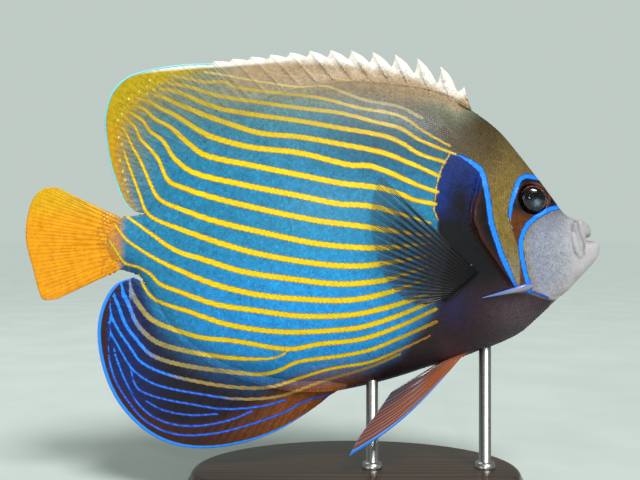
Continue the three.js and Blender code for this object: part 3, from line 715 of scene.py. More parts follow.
def tail_ground(px, py):
    """Orange of the tail fin, yellower above, with a dull spot at its root."""
    orange = spread(evenly(TAIL_ORANGE, px), TAIL_YELLOW, step(py, *TAIL_TOP_ROWS))
    return spread(orange, TAIL_ROOT, bell(from_spot(px, py, TAIL_SPOT, 0.6), 0, 9) * 0.75)


def belly_ground(px, py, below):
    """Anal fin and belly: deep blue under the flank's foot, then black, with rust along the margin
    and all over the front."""
    sea = spread(evenly(DEEP_SEA, px), FIN_BLACK, step(below, 2, 30))
    sea = spread(sea, FIN_NAVY, step(px, *ANAL_NAVY_COLUMNS) * 0.9)
    edge_away = np.full(len(px), FAR)
    near = (px < ANAL_FIN_WINDOW[0]) & (py > ANAL_FIN_WINDOW[1])
    edge_away[near] = line_distance(px[near], py[near], ANAL_EDGE)
    deep = height(ANAL_RIM_DEPTH)(px)
    sea = spread(sea, RUST_DARK, 1 - step(edge_away, deep * 0.7, deep * 1.25))
    sea = spread(sea, RUST, (1 - step(edge_away, deep * 0.4, deep * 1.1)) * step(px, *RUST_COLUMNS))
    return spread(sea, UNDERSIDE, step(px, *BELLY_COLUMNS))


def breast_ground(px, py):
    """Navy patch behind the gill cover, black in its middle, and the dark breast under it."""
    dark = spread(evenly(NAVY, px), PATCH_BLACK, bell(from_spot(px, py, PATCH_MIDDLE, 0.62), 0, 19))
    dark = spread(dark, PATCH_BLACK, step(py, *PATCH_BLACK_ROWS))
    cover = (px - gill_at(py)) * PIXEL
    dark = spread(dark, GILL_BLACK, step(cover, 0, 1.5) * step(py, *GILL_ROWS))
    dark = spread(dark, GILL_BROWN, bell(cover, 0.6, 1.9) * step(py, *GILL_BROWN_ROWS) * 0.9)
    dark = spread(dark, BREAST, step(py, *BREAST_ROWS))
    dark = spread(dark, FIN_NAVY, bell(from_spot(px, py, NAVY_SPOT), 0, 20) * 0.4)
    dark = spread(dark, BREAST_GREY, bell(from_spot(px, py, BREAST_SPOT, 1.1), 0, 30) * 0.85)
    rise = py - BREAST_RED_START[1] - 0.35 * (px - BREAST_RED_START[0])
    return spread(dark, BREAST_RED, step(rise, 0, 30) * 0.7)


def olive_ground(px, py):
    """Olive of the nape, brighter on the cheek and washed out at its foot."""
    olive = spread(evenly(NAPE, px), OLIVE, step(py, *NAPE_ROWS))
    olive = spread(olive, OLIVE_BRIGHT, bell(from_spot(px, py, BRIGHT_CHEEK, 0.5), 0, 24) * 0.8)
    return spread(olive, WASHED_OLIVE, step(py, *WASHED_ROWS) * 0.8)


def olive_share(px, py, under):
    """The olive begins at its rear line, softly above and sharply at the head's blue line."""
    soft = height(OLIVE_SOFTNESS)(py)
    ahead = step(px - border(OLIVE_REAR)(py), -soft, soft)
    return ahead * step(py - height(CHEEK_EDGE)(px), 2, 0) * step(under, 8, 40)


def crest_ground(px, py, under, paint):
    """Tan band of the spiny dorsal fin, its white tips, and the white margin behind them."""
    depth = mix(1, 0.45, step(px, *TAN_FRONT_COLUMNS))
    paint = spread(paint, TAN, (1 - step(under, 12 * depth, 44 * depth)) * step(px, *CREST_COLUMNS))
    paint = spread(paint, WHITE, (1 - step(under, -7, 4)) * step(px, *WHITE_COLUMNS))
    edge_away = np.full(len(px), FAR)
    near = (px < TOP_WINDOW[0]) & (py < TOP_WINDOW[1])
    edge_away[near] = line_distance(px[near], py[near], DORSAL_EDGE)
    deep = height(WHITE_RIM_DEPTH)(px)
    return spread(paint, WHITE, 1 - step(edge_away, deep - 1.5, deep + 1))


def mask_ground(px, py, paint):
    """Dark mask round the eye, brown under it, the lid's brown edge and painted shade in the nostrils."""
    within = step(px - mask_rear_at(py), -1, 1) * step(py - height(MASK_TOP)(px), -1, 1)
    rise = py - MASK_BROWN_START[1] - 0.4 * (px - MASK_BROWN_START[0])
    brown = spread(evenly(MASK_BLACK, px), MASK_BROWN, step(rise, 0, 11))
    paint = spread(paint, brown, within * step(py, *MASK_FOOT_ROWS))
    eye = photo_place(EYE_PLACE[0], 13.0, EYE_PLACE[1])
    ahead = step(px - eye[0] + eye[1] - py, 0, 14)
    paint = spread(paint, EYE_BROWN, bell(from_spot(px, py, eye), 15.4, 1.0) * ahead)
    # Painted shade: the nostril pits are darkened towards black.
    for x, z in NOSTRILS:
        hole = photo_place(x, 10.5, z)
        paint = spread(paint, MASK_BLACK, 0.8 * bell(from_spot(px, py, hole), 0, 1.8))
    return paint


def snout_ground(px, py, paint):
    """Grey snout: olive along the blue line, cooler behind, paler on the lips and chin, with painted
    shade in the mouth's fold, and darker towards its top."""
    ahead = px - front_blue_at(py)
    within = step(ahead, -1, 1) * step(py, *SNOUT_TOP) * step(py - height(SNOUT_FOOT)(px), 1, -1)
    face = spread(evenly(GREY, px), COOL_GREY, bell(ahead, 14, 14) * 0.6)
    face = spread(face, OLIVE_BRIGHT, bell(ahead, 3, 5) * 0.6)
    face = spread(face, LIP_GREY, step(px, *LIP_COLUMNS) * 0.8)
    face = spread(face, CHIN, step(py - CHIN_START[1] + 0.5 * (px - CHIN_START[0]), 0, 32) * 0.6)
    face = spread(face, PINK, bell(from_spot(px, py, MOUTH_CORNER, 1.2), 0, 4.5))
    fold = np.full(len(px), FAR)
    near = px > FOLD_START
    fold[near] = line_distance(px[near], py[near], MOUTH_FOLD)
    # Painted shade: up to 0.4 darker in the mouth's fold; the snout is also up to 0.28 darker towards its
    # top.
    shade = (1 - 0.4 * bell(fold, 0, 1.1)) * (1 - 0.28 * step(py, *SNOUT_SHADE_ROWS))
    return spread(paint, face * shade[:, None], within)


def ground_at(px, py):
    """Colour of the skin between the lines, from the flank to the snout."""
    under = py - height(NOTCH_LINE)(px)
    below = py - height(FLANK_FOOT)(px)
    paint = soft_dorsal_ground(px, py, flank_ground(px, py, under))
    tail = tail_share(px, py)
    paint = spread(paint, tail_ground(px, py), tail)
    paint = spread(paint, belly_ground(px, py, below), step(below, -22, 14) * (1 - tail))
    patch = step(px - patch_rear_at(py), -1.5, 1.5 + step(py, *PATCH_SOFT_ROWS) * 20) * step(py, *PATCH_TOP)
    paint = spread(paint, breast_ground(px, py), patch)
    paint = spread(paint, olive_ground(px, py), olive_share(px, py, under))
    paint = crest_ground(px, py, under, paint)
    # Painted shade: the upper flank under the spiny dorsal fin is darkened by up to a half.
    shaded = step(px, *SHADED_COLUMNS) * step(px, *SHADED_FRONT)
    shaded *= step(py, *SHADED_ROWS) * step(under, 8, 34)
    paint = paint * (1 - 0.5 * shaded)[:, None]
    return snout_ground(px, py, mask_ground(px, py, paint))


def paint_mesh(mesh, points, rim=None, rim_paint=None, rim_width=0.0, centres=None, shade=None):
    """Stores the markings on a mesh. Scales take most of theirs from their own centre, and a fin has
    a margin of its own colour, rim_width mm wide, where rim is the distance from its edge."""
    spots = points if centres is None else mix(points, centres, 0.35)
    px, py = photo_place(*spots.T)
    ground = ground_at(px, py)
    inside, core, edge = lines_at(px, py)
    if rim is not None:
        depth = rim_width - rim
        near = depth > inside
        inside = np.where(near, depth, inside)
        core[near] = rim_paint
        edge[near] = rim_paint * 0.4
    # shade holds each scale's random tone times its painted shade and light; ground and lines are multiplied
    # by it.
    if shade is not None:
        ground = ground * shade[:, None]
        core = core * (0.5 + 0.5 * shade[:, None])
    add_values(mesh, "ground", ground)
    add_values(mesh, "line", inside)
    add_values(mesh, "line_colour", core)
    add_values(mesh, "edge_colour", edge)


# Fins

SPINE_TIPS = [
    (63.2, 151.6), (53.3, 160.2), (43.6, 163.6), (33, 165.3), (13.2, 167), (-4, 166.6), (-21.6, 164.8),
    (-43, 162.3),
]
SOFT_DORSAL_MARGIN = [
    (-43.1, 161.5), (-56, 161), (-70, 158.6), (-78.5, 155.6), (-84.5, 149.6), (-87.6, 140), (-87.3, 131),
    (-85.5, 120), (-82.5, 110.5), (-79.6, 103.6), (-75.6, 99.6), (-71.6, 98.9),
]
ANAL_MARGIN = [
    (11, 26.2), (7, 22.5), (1, 17.5), (-7, 12), (-16.2, 6.8), (-28.8, 2.4), (-43.5, 0), (-56.1, 0.8),
    (-66.6, 4.6), (-75, 10.9), (-82.1, 19.3), (-87.1, 29.4), (-90.1, 41.2), (-90.5, 51.7), (-88, 61.5),
    (-83, 68.8), (-75.5, 71.8),
]
TAIL_MARGIN = [
    (-107.5, 109.4), (-112.8, 109), (-117.2, 105.4), (-119.8, 98.5), (-120.8, 90), (-120, 83.4),
    (-117.8, 75.6), (-115.6, 67), (-113.4, 62.4), (-107.5, 62.6),
]
PECTORAL_MARGIN = [
    (26.1, 113.8), (23.4, 104), (22.6, 93.2), (24.1, 83.5), (27.7, 73.7), (32.6, 67), (38.6, 62.8),
    (44.8, 61.7),
]
PELVIC_MARGIN = [(14.5, 0.4), (18.3, 7.6), (23.7, 15.1), (27.9, 21), (31.5, 26.2)]
FIN_RIM_HALF = 0.2
SPINY_DEPTH, SOFT_DEPTH, ANAL_DEPTH = 14, 28, -40  # mm of z under a fin's root for each 1 of v


def ray_profile(share, v, rays, fork_from=0.35):
    """Height from 0 to 1 of the ray ridges: a narrow bell in the middle of each ray's strip, which
    forks in two towards the margin."""
    across = share * rays % 1 - 0.5
    fork = 0.23 * step(v, fork_from, fork_from + 0.35)
    width = mix(0.17, 0.1, step(v, 0.2, 0.8))
    ridge = np.maximum(bell(across, -fork, width), bell(across, fork, width))
    return ridge * np.sin(math.pi * np.clip(v, 0.04, 0.97)) ** 0.4


def fin(root_at, rim_at, half, middle=None, sag=None, deep=None):
    """A fin face as a function of the share s along its root, the height v and the side: root plus
    v times (rim - root), less a sag times sin(pi v), and half the thickness out from the middle.
    Where v is under 0 it goes straight into the body, by v times `deep` in mm of z."""
    def point(s, v, side):
        root, rim = root_at(s), rim_at(s)
        place = root + (rim - root) * v[:, None]
        if deep is not None:
            place = np.where(v[:, None] < 0, root + np.outer(v, (0, deep)), place)
        if sag is not None:
            place[:, 1] -= sag(s) * np.sin(math.pi * np.clip(v, 0, 1))
        y = side * half(s, v)
        if middle is not None:
            y = y + middle(place[:, 0], place[:, 1], v)
        return np.column_stack([place[:, 0], y, place[:, 1]])

    return point


def fin_mesh(name, point, shares, heights):
    """Both faces of a fin on a grid of shares and heights, closed round the border. Returns the
    mesh, its points and each point's distance from the margin in millimetres."""
    s, v = (grid.ravel() for grid in np.meshgrid(shares, heights, indexing="ij"))
    count, across = len(shares), len(heights)
    faces = [point(s, v, 1.0), point(s, v, -1.0)]
    far = len(s)
    triangles = grid_triangles(count, across)
    around = np.concatenate([
        np.arange(count) * across,
        (count - 1) * across + np.arange(1, across),
        np.arange(count - 2, -1, -1) * across + across - 1,
        np.arange(across - 2, 0, -1),
    ])
    after = np.roll(around, -1)
    band = [
        np.column_stack([around, after, far + after]),
        np.column_stack([around, far + after, far + around]),
    ]
    points = np.vstack(faces)
    mesh = turned_out(mesh_of(name, points, np.vstack([triangles, far + triangles[:, ::-1], *band])))
    lines = ((faces[0] + faces[1]) / 2).reshape(count, across, 3)
    rim = np.linalg.norm(lines[:, -1:, :] - lines, axis=2).ravel()
    return mesh, points, np.tile(rim, 2)


def fin_heights(count, start=-0.15):
    """Heights of a fin's rows: from its buried start in steps of 0.03, then count of them to the rim."""
    return np.concatenate([np.arange(start, -0.001, 0.03), np.linspace(0, 1, count)])


def fin_body(root, rim, s, v, front=0.1):
    """Half thickness of a median fin: 0.15 of the body's half width at its root, falling to the
    rim's with v ** 0.8, and a fillet of 0.12 of that width where it grows out of the body. The fillet
    falls off as (1 - v ** 2) * exp(-height / 3.2 mm) and begins between the shares 0 and `front`. The
    body is thicker than this sum from 6 % of its half height inwards."""
    width = half_width(root[:, 0])
    up = np.clip(v, 0, 1)
    height = up * np.linalg.norm(rim - root, axis=1)
    fillet = 0.12 * width * step(s, -0.02, front) * (1 - up**2) * np.exp(-height / 3.2)
    return mix(0.15 * width, FIN_RIM_HALF, up**0.8) + fillet


def rooted(line, curve):
    """Root of a median fin on the body's outline, as a function of the share."""
    return along([(x, curve(np.array([float(x)]))[0]) for x in line])


# The spiny dorsal fin: each spine leans back, stands free at its tip, and has a notch behind it.
SPINE_COUNT = 13
SPINE_FIRST_STEP = 9.9
SPINE_STEP_LOSS = 0.21
NOTCH_DEPTH = 10.2
NOTCH_DECAY = 0.2
FIRST_NOTCH = 4.8
NOTCH_BEHIND_TIP = 1.3
FIRST_NOTCH_BEHIND_TIP = 2.8
SPINE_ROOT_FRONT = 64.5
SPINE_ROOT_REAR = -26.0
TOOTH_SAMPLES = 14


def spiny_rim():
    """Margin of the spiny dorsal fin as points, with each point's share of a spine's ridge: up a
    convex slope to each tip, then down a short steep edge into the notch."""
    tip_line = smooth(SPINE_TIPS[::-1])
    foot = np.array([64.6, 142.6])
    rim, ridge, tip = [foot], [0.0], SPINE_TIPS[0][0]
    rise = np.linspace(0, 1, TOOTH_SAMPLES)[1:]
    for k in range(SPINE_COUNT):
        depth = NOTCH_DEPTH * math.exp(-NOTCH_DECAY * k) if k else FIRST_NOTCH
        top = np.array([tip, float(tip_line(np.array([tip]))[0])])
        slope = mix(foot, top, rise[:, None])
        slope[:, 1] += 0.16 * depth * np.sin(math.pi * rise)
        slope[:, 0] += 0.06 * depth * np.sin(math.pi * rise)
        rim += list(slope)
        ridge += list(np.exp(-((1 - rise) / 0.16) ** 2))
        notch = tip - (NOTCH_BEHIND_TIP if k else FIRST_NOTCH_BEHIND_TIP)
        low = max(float(tip_line(np.array([notch]))[0]) - depth, float(back(np.array([notch]))[0]) + 1)
        fall = np.linspace(0, 1, 5)[1:, None]
        drop = mix(top, np.array([notch, low]), fall)
        drop[:, 0] += 0.35 * np.sin(math.pi * fall[:, 0])
        rim += list(drop)
        ridge += [0.35, 0.1, 0.0, 0.0]
        foot = np.array([notch, low])
        tip -= SPINE_FIRST_STEP - SPINE_STEP_LOSS * k
    return np.array(rim), np.array(ridge)


def spiny_dorsal():
    """The spiny dorsal fin and the shares of its margin's points. Each spine is a ridge up to 0.62 mm
    high, lower towards the rear, and the buried front is drawn in to stay inside the nape."""
    rim, ridge = spiny_rim()
    share = np.linspace(0, 1, len(rim))
    first, last = SPINE_TIPS[0][0], SPINE_TIPS[-1][0]
    shrink = (SPINE_ROOT_FRONT - SPINE_ROOT_REAR) / (first - last)
    root_x = SPINE_ROOT_FRONT - (first - rim[:, 0]) * shrink
    root = np.column_stack([root_x, back(root_x)])
    root_at = lambda s: np.column_stack([np.interp(s, share, root[:, i]) for i in (0, 1)])
    rim_at = lambda s: np.column_stack([np.interp(s, share, rim[:, i]) for i in (0, 1)])

    def half(s, v):
        bone = 0.62 * np.interp(s, share, ridge) * np.sin(math.pi * np.clip(v, 0.05, 0.93)) ** 0.5
        bone *= mix(1, 0.4, step(s, 0.4, 0.8))
        body = fin_body(root_at(s), rim_at(s), s, v) + bone
        return body * mix(1, 0.15, step(-v, 0.05, 0.12) * step(s, 0.12, 0.04))

    return fin(root_at, rim_at, half, deep=SPINY_DEPTH), share


def rayed(root_at, rim_at, rays, deep, ridge=0.3, front=0.1):
    """A median fin with soft rays, each a ridge in mm that forks on its way to the rim."""
    def half(s, v):
        return fin_body(root_at(s), rim_at(s), s, v, front) + ridge * ray_profile(s, v, rays)

    return fin(root_at, rim_at, half, deep=deep)


def soft_dorsal():
    line = [SPINE_ROOT_REAR, -37.2, -46.4, -53.1, -58.6, -63.2, -67, -70]
    return rayed(rooted(line, back), along(SOFT_DORSAL_MARGIN), 19, SOFT_DEPTH, 0.2, -0.01)


def anal():
    line = [14, 2, -9.9, -22.5, -35.1, -45.6, -54, -60.3, -65.3, -70]
    return rayed(rooted(line, belly), along(ANAL_MARGIN), 21, ANAL_DEPTH)


def caudal():
    """The tail fin: a fan from the end of the tail root, 2.6 mm thick each way there."""
    top, bottom = BACK_LINE[0][1] - 0.8, BELLY_LINE[0][1] + 0.8
    root_at = lambda s: np.column_stack([np.full(len(s), TAIL_ROOT_X - 1), mix(top, bottom, s)])

    def half(s, v):
        return mix(2.6, FIN_RIM_HALF, np.clip(v, 0, 1) ** 0.55) + 0.28 * ray_profile(s, v, 17, 0.25)

    return fin(root_at, along(TAIL_MARGIN), half)


PECTORAL_ROOT = np.array([(62.7, 77.1), (52.4, 63.7)])
PECTORAL_STAND_OFF = 3.2
PECTORAL_RAYS = 18
STRANDS = (-1.0, 0.0, 1.0)


def pectoral_middle(side):
    """The fin lies back along the flank, 1.45 mm off it, and further by v ** 1.3 towards its margin."""
    return lambda x, z, v: side * (smooth_flank(x, z) + 1.45 + PECTORAL_STAND_OFF * np.clip(v, 0, 1) ** 1.3)


def pectoral_web(side):
    """The clear skin between the rays, which thins out from 0.5 to 0.06 mm each way."""
    root_at = lambda s: mix(*PECTORAL_ROOT, s[:, None])
    half = lambda s, v: mix(0.5, 0.06, np.clip(v, 0, 1) ** 0.4)
    return fin(root_at, along(PECTORAL_MARGIN), half, pectoral_middle(side))


def pectoral_rays(side):
    """Three closed strands for each ray. They lie in one at its root and fan out towards the margin,
    and their width and thickness fall on the way."""
    rim_at = along(PECTORAL_MARGIN)
    middle = pectoral_middle(side)
    rings = []
    v = np.linspace(-0.08, 0.985, 30)
    turns = np.linspace(0, 2 * math.pi, 6, endpoint=False)
    for k in range(PECTORAL_RAYS * len(STRANDS)):
        fork = STRANDS[k % len(STRANDS)] * 0.24 * step(v, 0.18, 0.95)
        s = (k // len(STRANDS) + 0.5 + fork) / PECTORAL_RAYS
        root = mix(*PECTORAL_ROOT, s[:, None])
        place = root + (rim_at(s) - root) * v[:, None]
        ahead = rim_at(s[:1])[0] - root[0]
        across = np.array([-ahead[1], ahead[0]]) / np.hypot(*ahead)
        wide = mix(0.6, 0.13, np.clip(v, 0, 1) ** 0.55)[:, None] * np.cos(turns)
        thick = mix(0.6, 0.1, np.clip(v, 0, 1) ** 0.5)[:, None] * np.sin(turns)
        x, y, z = place[:, 0], middle(place[:, 0], place[:, 1], v), place[:, 1]
        rings.append(np.stack([
            x[:, None] + wide * across[0], y[:, None] + thick, z[:, None] + wide * across[1],
        ], -1))
    return rings


PELVIC_ROOT = np.array([(61, 38.5), (52, 36.2)])
PELVIC_ROOT_Y = 3.6
PELVIC_SAG = 4.2
PELVIC_RAYS = 6


def pelvic(side, dip, fold, outwards):
    """A narrow fan behind its spine, turned up by dip degrees and closed to a share `fold`."""
    open_at = along(PELVIC_MARGIN)
    turn = math.radians(-dip)

    def rim_at(s):
        away = open_at(s * fold) - PELVIC_ROOT[0]
        x = away[:, 0] * math.cos(turn) - away[:, 1] * math.sin(turn)
        z = away[:, 0] * math.sin(turn) + away[:, 1] * math.cos(turn)
        return PELVIC_ROOT[0] + np.column_stack([x, z])

    root_at = lambda s: mix(*PELVIC_ROOT, s[:, None] * fold)
    middle = lambda x, z, v: side * (PELVIC_ROOT_Y + outwards * v)
    sag = lambda s: PELVIC_SAG * fold * (1 - s)

    def half(s, v):
        return mix(1.2, 0.18, np.clip(v, 0, 1) ** 0.6) + 0.3 * ray_profile(s, v, PELVIC_RAYS, 0.3)

    return fin(root_at, rim_at, half, middle, sag)


# Scales

COLUMN_STEP = 0.86  # of the pitch, from one column or row of scales to the next
SCALE_PITCH = 1.05
HEAD_SCALE_PITCH = 0.85
SNOUT_SCALE_PITCH = 0.6
FIN_SCALE_PITCH = 0.945
FLANK_REAR_X = SKIN_END_X + 1.5
FLANK_SPLIT_X = FLANK_REAR_X + 100 * COLUMN_STEP * SCALE_PITCH  # an even number of columns on
# Borders of the scaled parts, as places, rows and columns in pixels.
NAPE_CORNER, CHEEK_CORNER, BREAST_TOP, SNOUT_REAR = (470, 154), (528, 214), 296, 541
SLIT_ROWS, BARE_LIPS, SMALLER_COLUMNS, BREAST_FRONT_X = (180, 290), 566, (550, 572), 98
# Each coat of the body: name, part, first and last x, pitch and slot.
COATS = [
    ("flank_rear_scales_", "flank", FLANK_REAR_X, FLANK_SPLIT_X - 0.01, SCALE_PITCH, "flank_skin"),
    ("flank_front_scales_", "flank", FLANK_SPLIT_X, 100, SCALE_PITCH, "flank_skin"),
    ("head_scales_", "head", 38, 100, HEAD_SCALE_PITCH, "head_skin"),
    ("snout_scales_", "snout", 86, 109, SNOUT_SCALE_PITCH, "head_skin"),
]
# Each coat of a fin: name, from and to which height it goes, slot and its row of the unwrap.
FIN_COATS = [
    ("dorsal_spiny_scales_", -0.3, 0.66, "spine_fin", 0.012),
    ("dorsal_soft_scales_", -0.13, 0.9, "yellow_fin", 0.09),
    ("anal_scales_", -0.1, 0.93, "dark_fin", 0.17),
    ("caudal_scales_", -0.07, 0.24, "yellow_fin", 0.25),
]
# One scale: (towards its free edge, sideways, out), for a length and width of 1 mm. The rim's points
# come twice, once for the face and once for the skirt under it, so the edge between them is sharp.
SCALE_FACE = [
    (-0.55, -0.34, -0.05), (-0.55, 0.34, -0.05), (0.12, 0, 0.09), (0.1, -0.56, 0.04), (0.48, -0.36, 0.08),
    (0.64, 0, 0.1), (0.48, 0.36, 0.08), (0.1, 0.56, 0.04),
]
SCALE_POINTS = np.array(SCALE_FACE + SCALE_FACE[3:] + [(x, y, -0.12) for x, y, _ in SCALE_FACE[3:]])
SCALE_TRIANGLES = np.array(
    [(0, 2, 1), (0, 3, 2), (1, 2, 7)]
    + [(2, i, i + 1) for i in range(3, 7)]
    + [(i, i + 5, i + 6) for i in range(8, 12)]
    + [(i, i + 6, i + 1) for i in range(8, 12)]
)
# Painted shade and light on each scale: darker at its covered root and on the skirt under its rim, a little
# lighter towards its raised free edge.
SCALE_SHADE = np.array([0.76, 0.76, 1.0, 0.96, 1.05, 1.08, 1.05, 0.96] + 10 * [0.6])
UNWRAP_PATCH = 0.003


def body_places(first, last, pitch):
    """Places of scales on one flank: columns along x, and in each column places evenly spaced
    along the section's own arc, every other column half a step further up."""
    places = []
    for i, x in enumerate(np.arange(first, last, pitch * COLUMN_STEP)):
        across = np.full(500, x)
        top, bottom, _ = section(across[:1])
        z = mix(bottom, top, (1 - np.cos(np.linspace(0.02, math.pi - 0.02, 500))) / 2)
        y = smooth_flank(across, z)
        arc = np.concatenate([[0], np.cumsum(np.hypot(np.diff(y), np.diff(z)))])
        at = np.arange(pitch * (0.25 + 0.5 * (i % 2)), arc[-1], pitch)
        places.append(np.column_stack([np.full(len(at), x), np.interp(at, arc, z), at / 200]))
    places = np.vstack(places)
    places[:, 0] += rng.normal(0, 0.05 * pitch, len(places))
    places[:, 1] += rng.normal(0, 0.05 * pitch, len(places))
    return places


def body_frames(places, side):
    """Root, outward normal and lie of each scale on a flank, by differences of the flank."""
    x, z = places[:, 0], places[:, 1]
    small = 0.15
    along_x = np.clip((flank(x + small, z) - flank(x - small, z)) / (2 * small), -1.5, 1.5)
    along_z = np.clip((flank(x, z + small) - flank(x, z - small)) / (2 * small), -12, 12)
    normal = np.column_stack([-along_x, np.full(len(x), side), -along_z])
    normal /= np.linalg.norm(normal, axis=1)[:, None]
    lie = np.column_stack([-np.ones(len(x)), -side * along_x, np.zeros(len(x))])
    lie /= np.linalg.norm(lie, axis=1)[:, None]
    return np.column_stack([x, side * flank(x, z), z]), normal, lie


def fin_places(point, pitch, low, high, side):
    """Rows of places up a fin face, evenly spaced along each row's own arc."""
    nine = np.linspace(0, 1, 9)
    lengths = np.linalg.norm(point(nine, np.ones(9), side) - point(nine, np.zeros(9), side), axis=1)
    fine = np.linspace(0.004, 0.996, 400)
    places = []
    for i, v in enumerate(np.arange(low, high, pitch * COLUMN_STEP / lengths.mean())):
        row = point(fine, np.full(400, v), side)
        arc = np.concatenate([[0], np.cumsum(np.linalg.norm(np.diff(row[:, [0, 2]], axis=0), axis=1))])
        at = np.arange(pitch * (0.25 + 0.5 * (i % 2)), arc[-1], pitch)
        s = np.interp(at, arc, fine)
        places.append(np.column_stack([s, np.full(len(s), v)]))
    places = np.vstack(places)
    return places + rng.normal(0, 0.001, places.shape)


def fin_frames(point, places, side):
    """Root, outward normal and lie of each scale on a fin: up the fin and half as much rearwards."""
    s, v = places.T
    small = 0.004
    root = point(s, v, side)
    up = point(s, v + small, side) - point(s, v - small, side)
    across = point(s + small, v, side) - point(s - small, v, side)
    normal = np.cross(up, across)
    normal *= np.sign(normal[:, 1:2]) * side
    normal /= np.linalg.norm(normal, axis=1)[:, None]
    lie = up / np.linalg.norm(up, axis=1)[:, None] + np.array([-0.5, 0, 0])
    lie -= normal * np.sum(lie * normal, axis=1)[:, None]
    lie /= np.linalg.norm(lie, axis=1)[:, None]
    return root, normal, lie


def unwrapped(places, side):
    """Place of each root on the unwrapped flank: x across, and the arc up from the belly."""
    u = (0.02 if side < 0 else 0.52) + 0.42 * (places[:, 0] + 90) / 200
    return np.column_stack([u, 0.34 + places[:, 2] * 0.85])


def scale_coat(name, frames, sizes, unwrap, slot):
    """A joined mesh of scales. Each is the pattern of SCALE_POINTS laid along its lie, and its patch
    of the unwrap lies at its root's place."""
    root, normal, lie = frames
    sideways = np.cross(normal, lie)
    size = sizes * rng.uniform(0.96, 1.12, len(root))
    lift = rng.uniform(0.85, 1.2, len(root))
    pattern = SCALE_POINTS[None, :, :]
    points = (
        root[:, None, :]
        + lie[:, None, :] * (pattern[:, :, 0:1] * size[:, None, None])
        + sideways[:, None, :] * (pattern[:, :, 1:2] * size[:, None, None])
        + normal[:, None, :] * (pattern[:, :, 2:3] * (size * lift)[:, None, None] + 0.03)
    ).reshape(-1, 3)
    count = len(SCALE_POINTS)
    triangles = (np.arange(len(root))[:, None, None] * count + SCALE_TRIANGLES).reshape(-1, 3)
    mesh = mesh_of(name, points, triangles)
    uv = unwrap[:, None, :] + SCALE_POINTS[None, :, :2] * UNWRAP_PATCH
    corners = uv.reshape(-1, 2)[triangles.ravel()]
    mesh.uv_layers.new(name="OFBake").data.foreach_set("uv", corners.astype(np.float32).ravel())
    # A random tone for each scale, times the painted shade and light of SCALE_SHADE.
    tone = rng.normal(1, 0.1, len(root)).clip(0.7, 1.3)
    shade = (tone[:, None] * SCALE_SHADE[None, :]).ravel()
    paint_mesh(mesh, points, centres=np.repeat(root, count, axis=0), shade=shade)
    piece(name, mesh, SCALE_SKIN, slot)


# Materials

def add(tree, kind, inputs=None, **settings):
    """A shader node with its settings. An input is a value, or (node, output) for a link."""
    made = tree.nodes.new(kind)
    for key, value in settings.items():
        setattr(made, key, value)
    for key, value in (inputs or {}).items():
        if isinstance(value, tuple) and isinstance(value[0], bpy.types.Node):
            tree.links.new(value[0].outputs[value[1]], made.inputs[key])
        else:
            made.inputs[key].default_value = value
    return made


def begin(name):
    """A new material, its empty node tree and its texture coordinates."""
    material = bpy.data.materials.new(name)
    material.use_nodes = True
    tree = material.node_tree
    tree.nodes.clear()
    place = add(tree, "ShaderNodeTexCoord")
    return material, tree, place


def finish_with(tree, shader):
    """The surface is the given shader."""
    add(tree, "ShaderNodeOutputMaterial", {"Surface": (shader, "BSDF")})


def rgba(paint):
    """Colour of a socket, with no transparency."""
    return (*map(float, paint), 1.0)


def per_mm(size):
    """Noise scale, in repeats a metre, for features of a size in millimetres."""
    return 1 / (size * MM)


def fish_skin(name, roughness, coat, bump, mottle=0.2):
    """Living fish skin under a film of slime: even colour cells, a soft gloss and a wet coat over it.
    The markings come from the surface's own values."""
    material, tree, place = begin(name)
    ground, line, core, edge = (
        add(tree, "ShaderNodeAttribute", attribute_name=value)
        for value in ("ground", "line", "line_colour", "edge_colour")
    )
    # Pigment cells gather in blotches about 2.5 mm across and specks of 0.5 mm.
    blotch = add(tree, "ShaderNodeTexNoise", {
        "Vector": (place, "Object"), "Scale": per_mm(2.5), "Detail": 3.0,
    })
    speck = add(tree, "ShaderNodeTexNoise", {
        "Vector": (place, "Object"), "Scale": per_mm(0.5), "Detail": 2.0,
    })
    both = add(tree, "ShaderNodeMath", {0: (blotch, "Fac"), 1: (speck, "Fac")}, operation="ADD")
    tone = add(tree, "ShaderNodeMapRange", {
        "Value": (both, 0), "From Min": 0.7, "From Max": 1.3, "To Min": 1 - mottle, "To Max": 1 + mottle,
    })
    mottled = add(tree, "ShaderNodeVectorMath", {
        0: (ground, "Color"), "Scale": (tone, 0),
    }, operation="SCALE")
    # The speck noise also breaks the lines' edges up a little, by up to 0.1 mm.
    ragged = add(tree, "ShaderNodeMath", {
        0: (speck, "Fac"), 1: 0.3, 2: (line, "Fac"),
    }, operation="MULTIPLY_ADD")
    outer = add(tree, "ShaderNodeMapRange", {"Value": (ragged, 0), "From Min": 0.02, "From Max": 0.2})
    inner = add(tree, "ShaderNodeMapRange", {"Value": (ragged, 0), "From Min": 0.26, "From Max": 0.5})
    # Inputs 6 and 7 and output 2 of a Mix node are its colours.
    rimmed = add(tree, "ShaderNodeMix", {
        "Factor": (outer, 0), 6: (mottled, 0), 7: (edge, "Color"),
    }, data_type="RGBA")
    lined = add(tree, "ShaderNodeMix", {
        "Factor": (inner, 0), 6: (rimmed, 2), 7: (core, "Color"),
    }, data_type="RGBA")
    rough = add(tree, "ShaderNodeMapRange", {
        "Value": (blotch, "Fac"), "From Min": 0.3, "From Max": 0.7,
        "To Min": roughness - 0.07, "To Max": roughness + 0.09,
    })
    grain = add(tree, "ShaderNodeBump", {
        "Height": (speck, "Fac"), "Strength": bump, "Distance": 0.15 * MM,
    })
    finish_with(tree, add(tree, "ShaderNodeBsdfPrincipled", {
        "Base Color": (lined, 2), "Roughness": (rough, 0), "Normal": (grain, 0), "IOR": 1.36,
        "Coat Weight": coat, "Coat Roughness": 0.12,
    }))
    return material


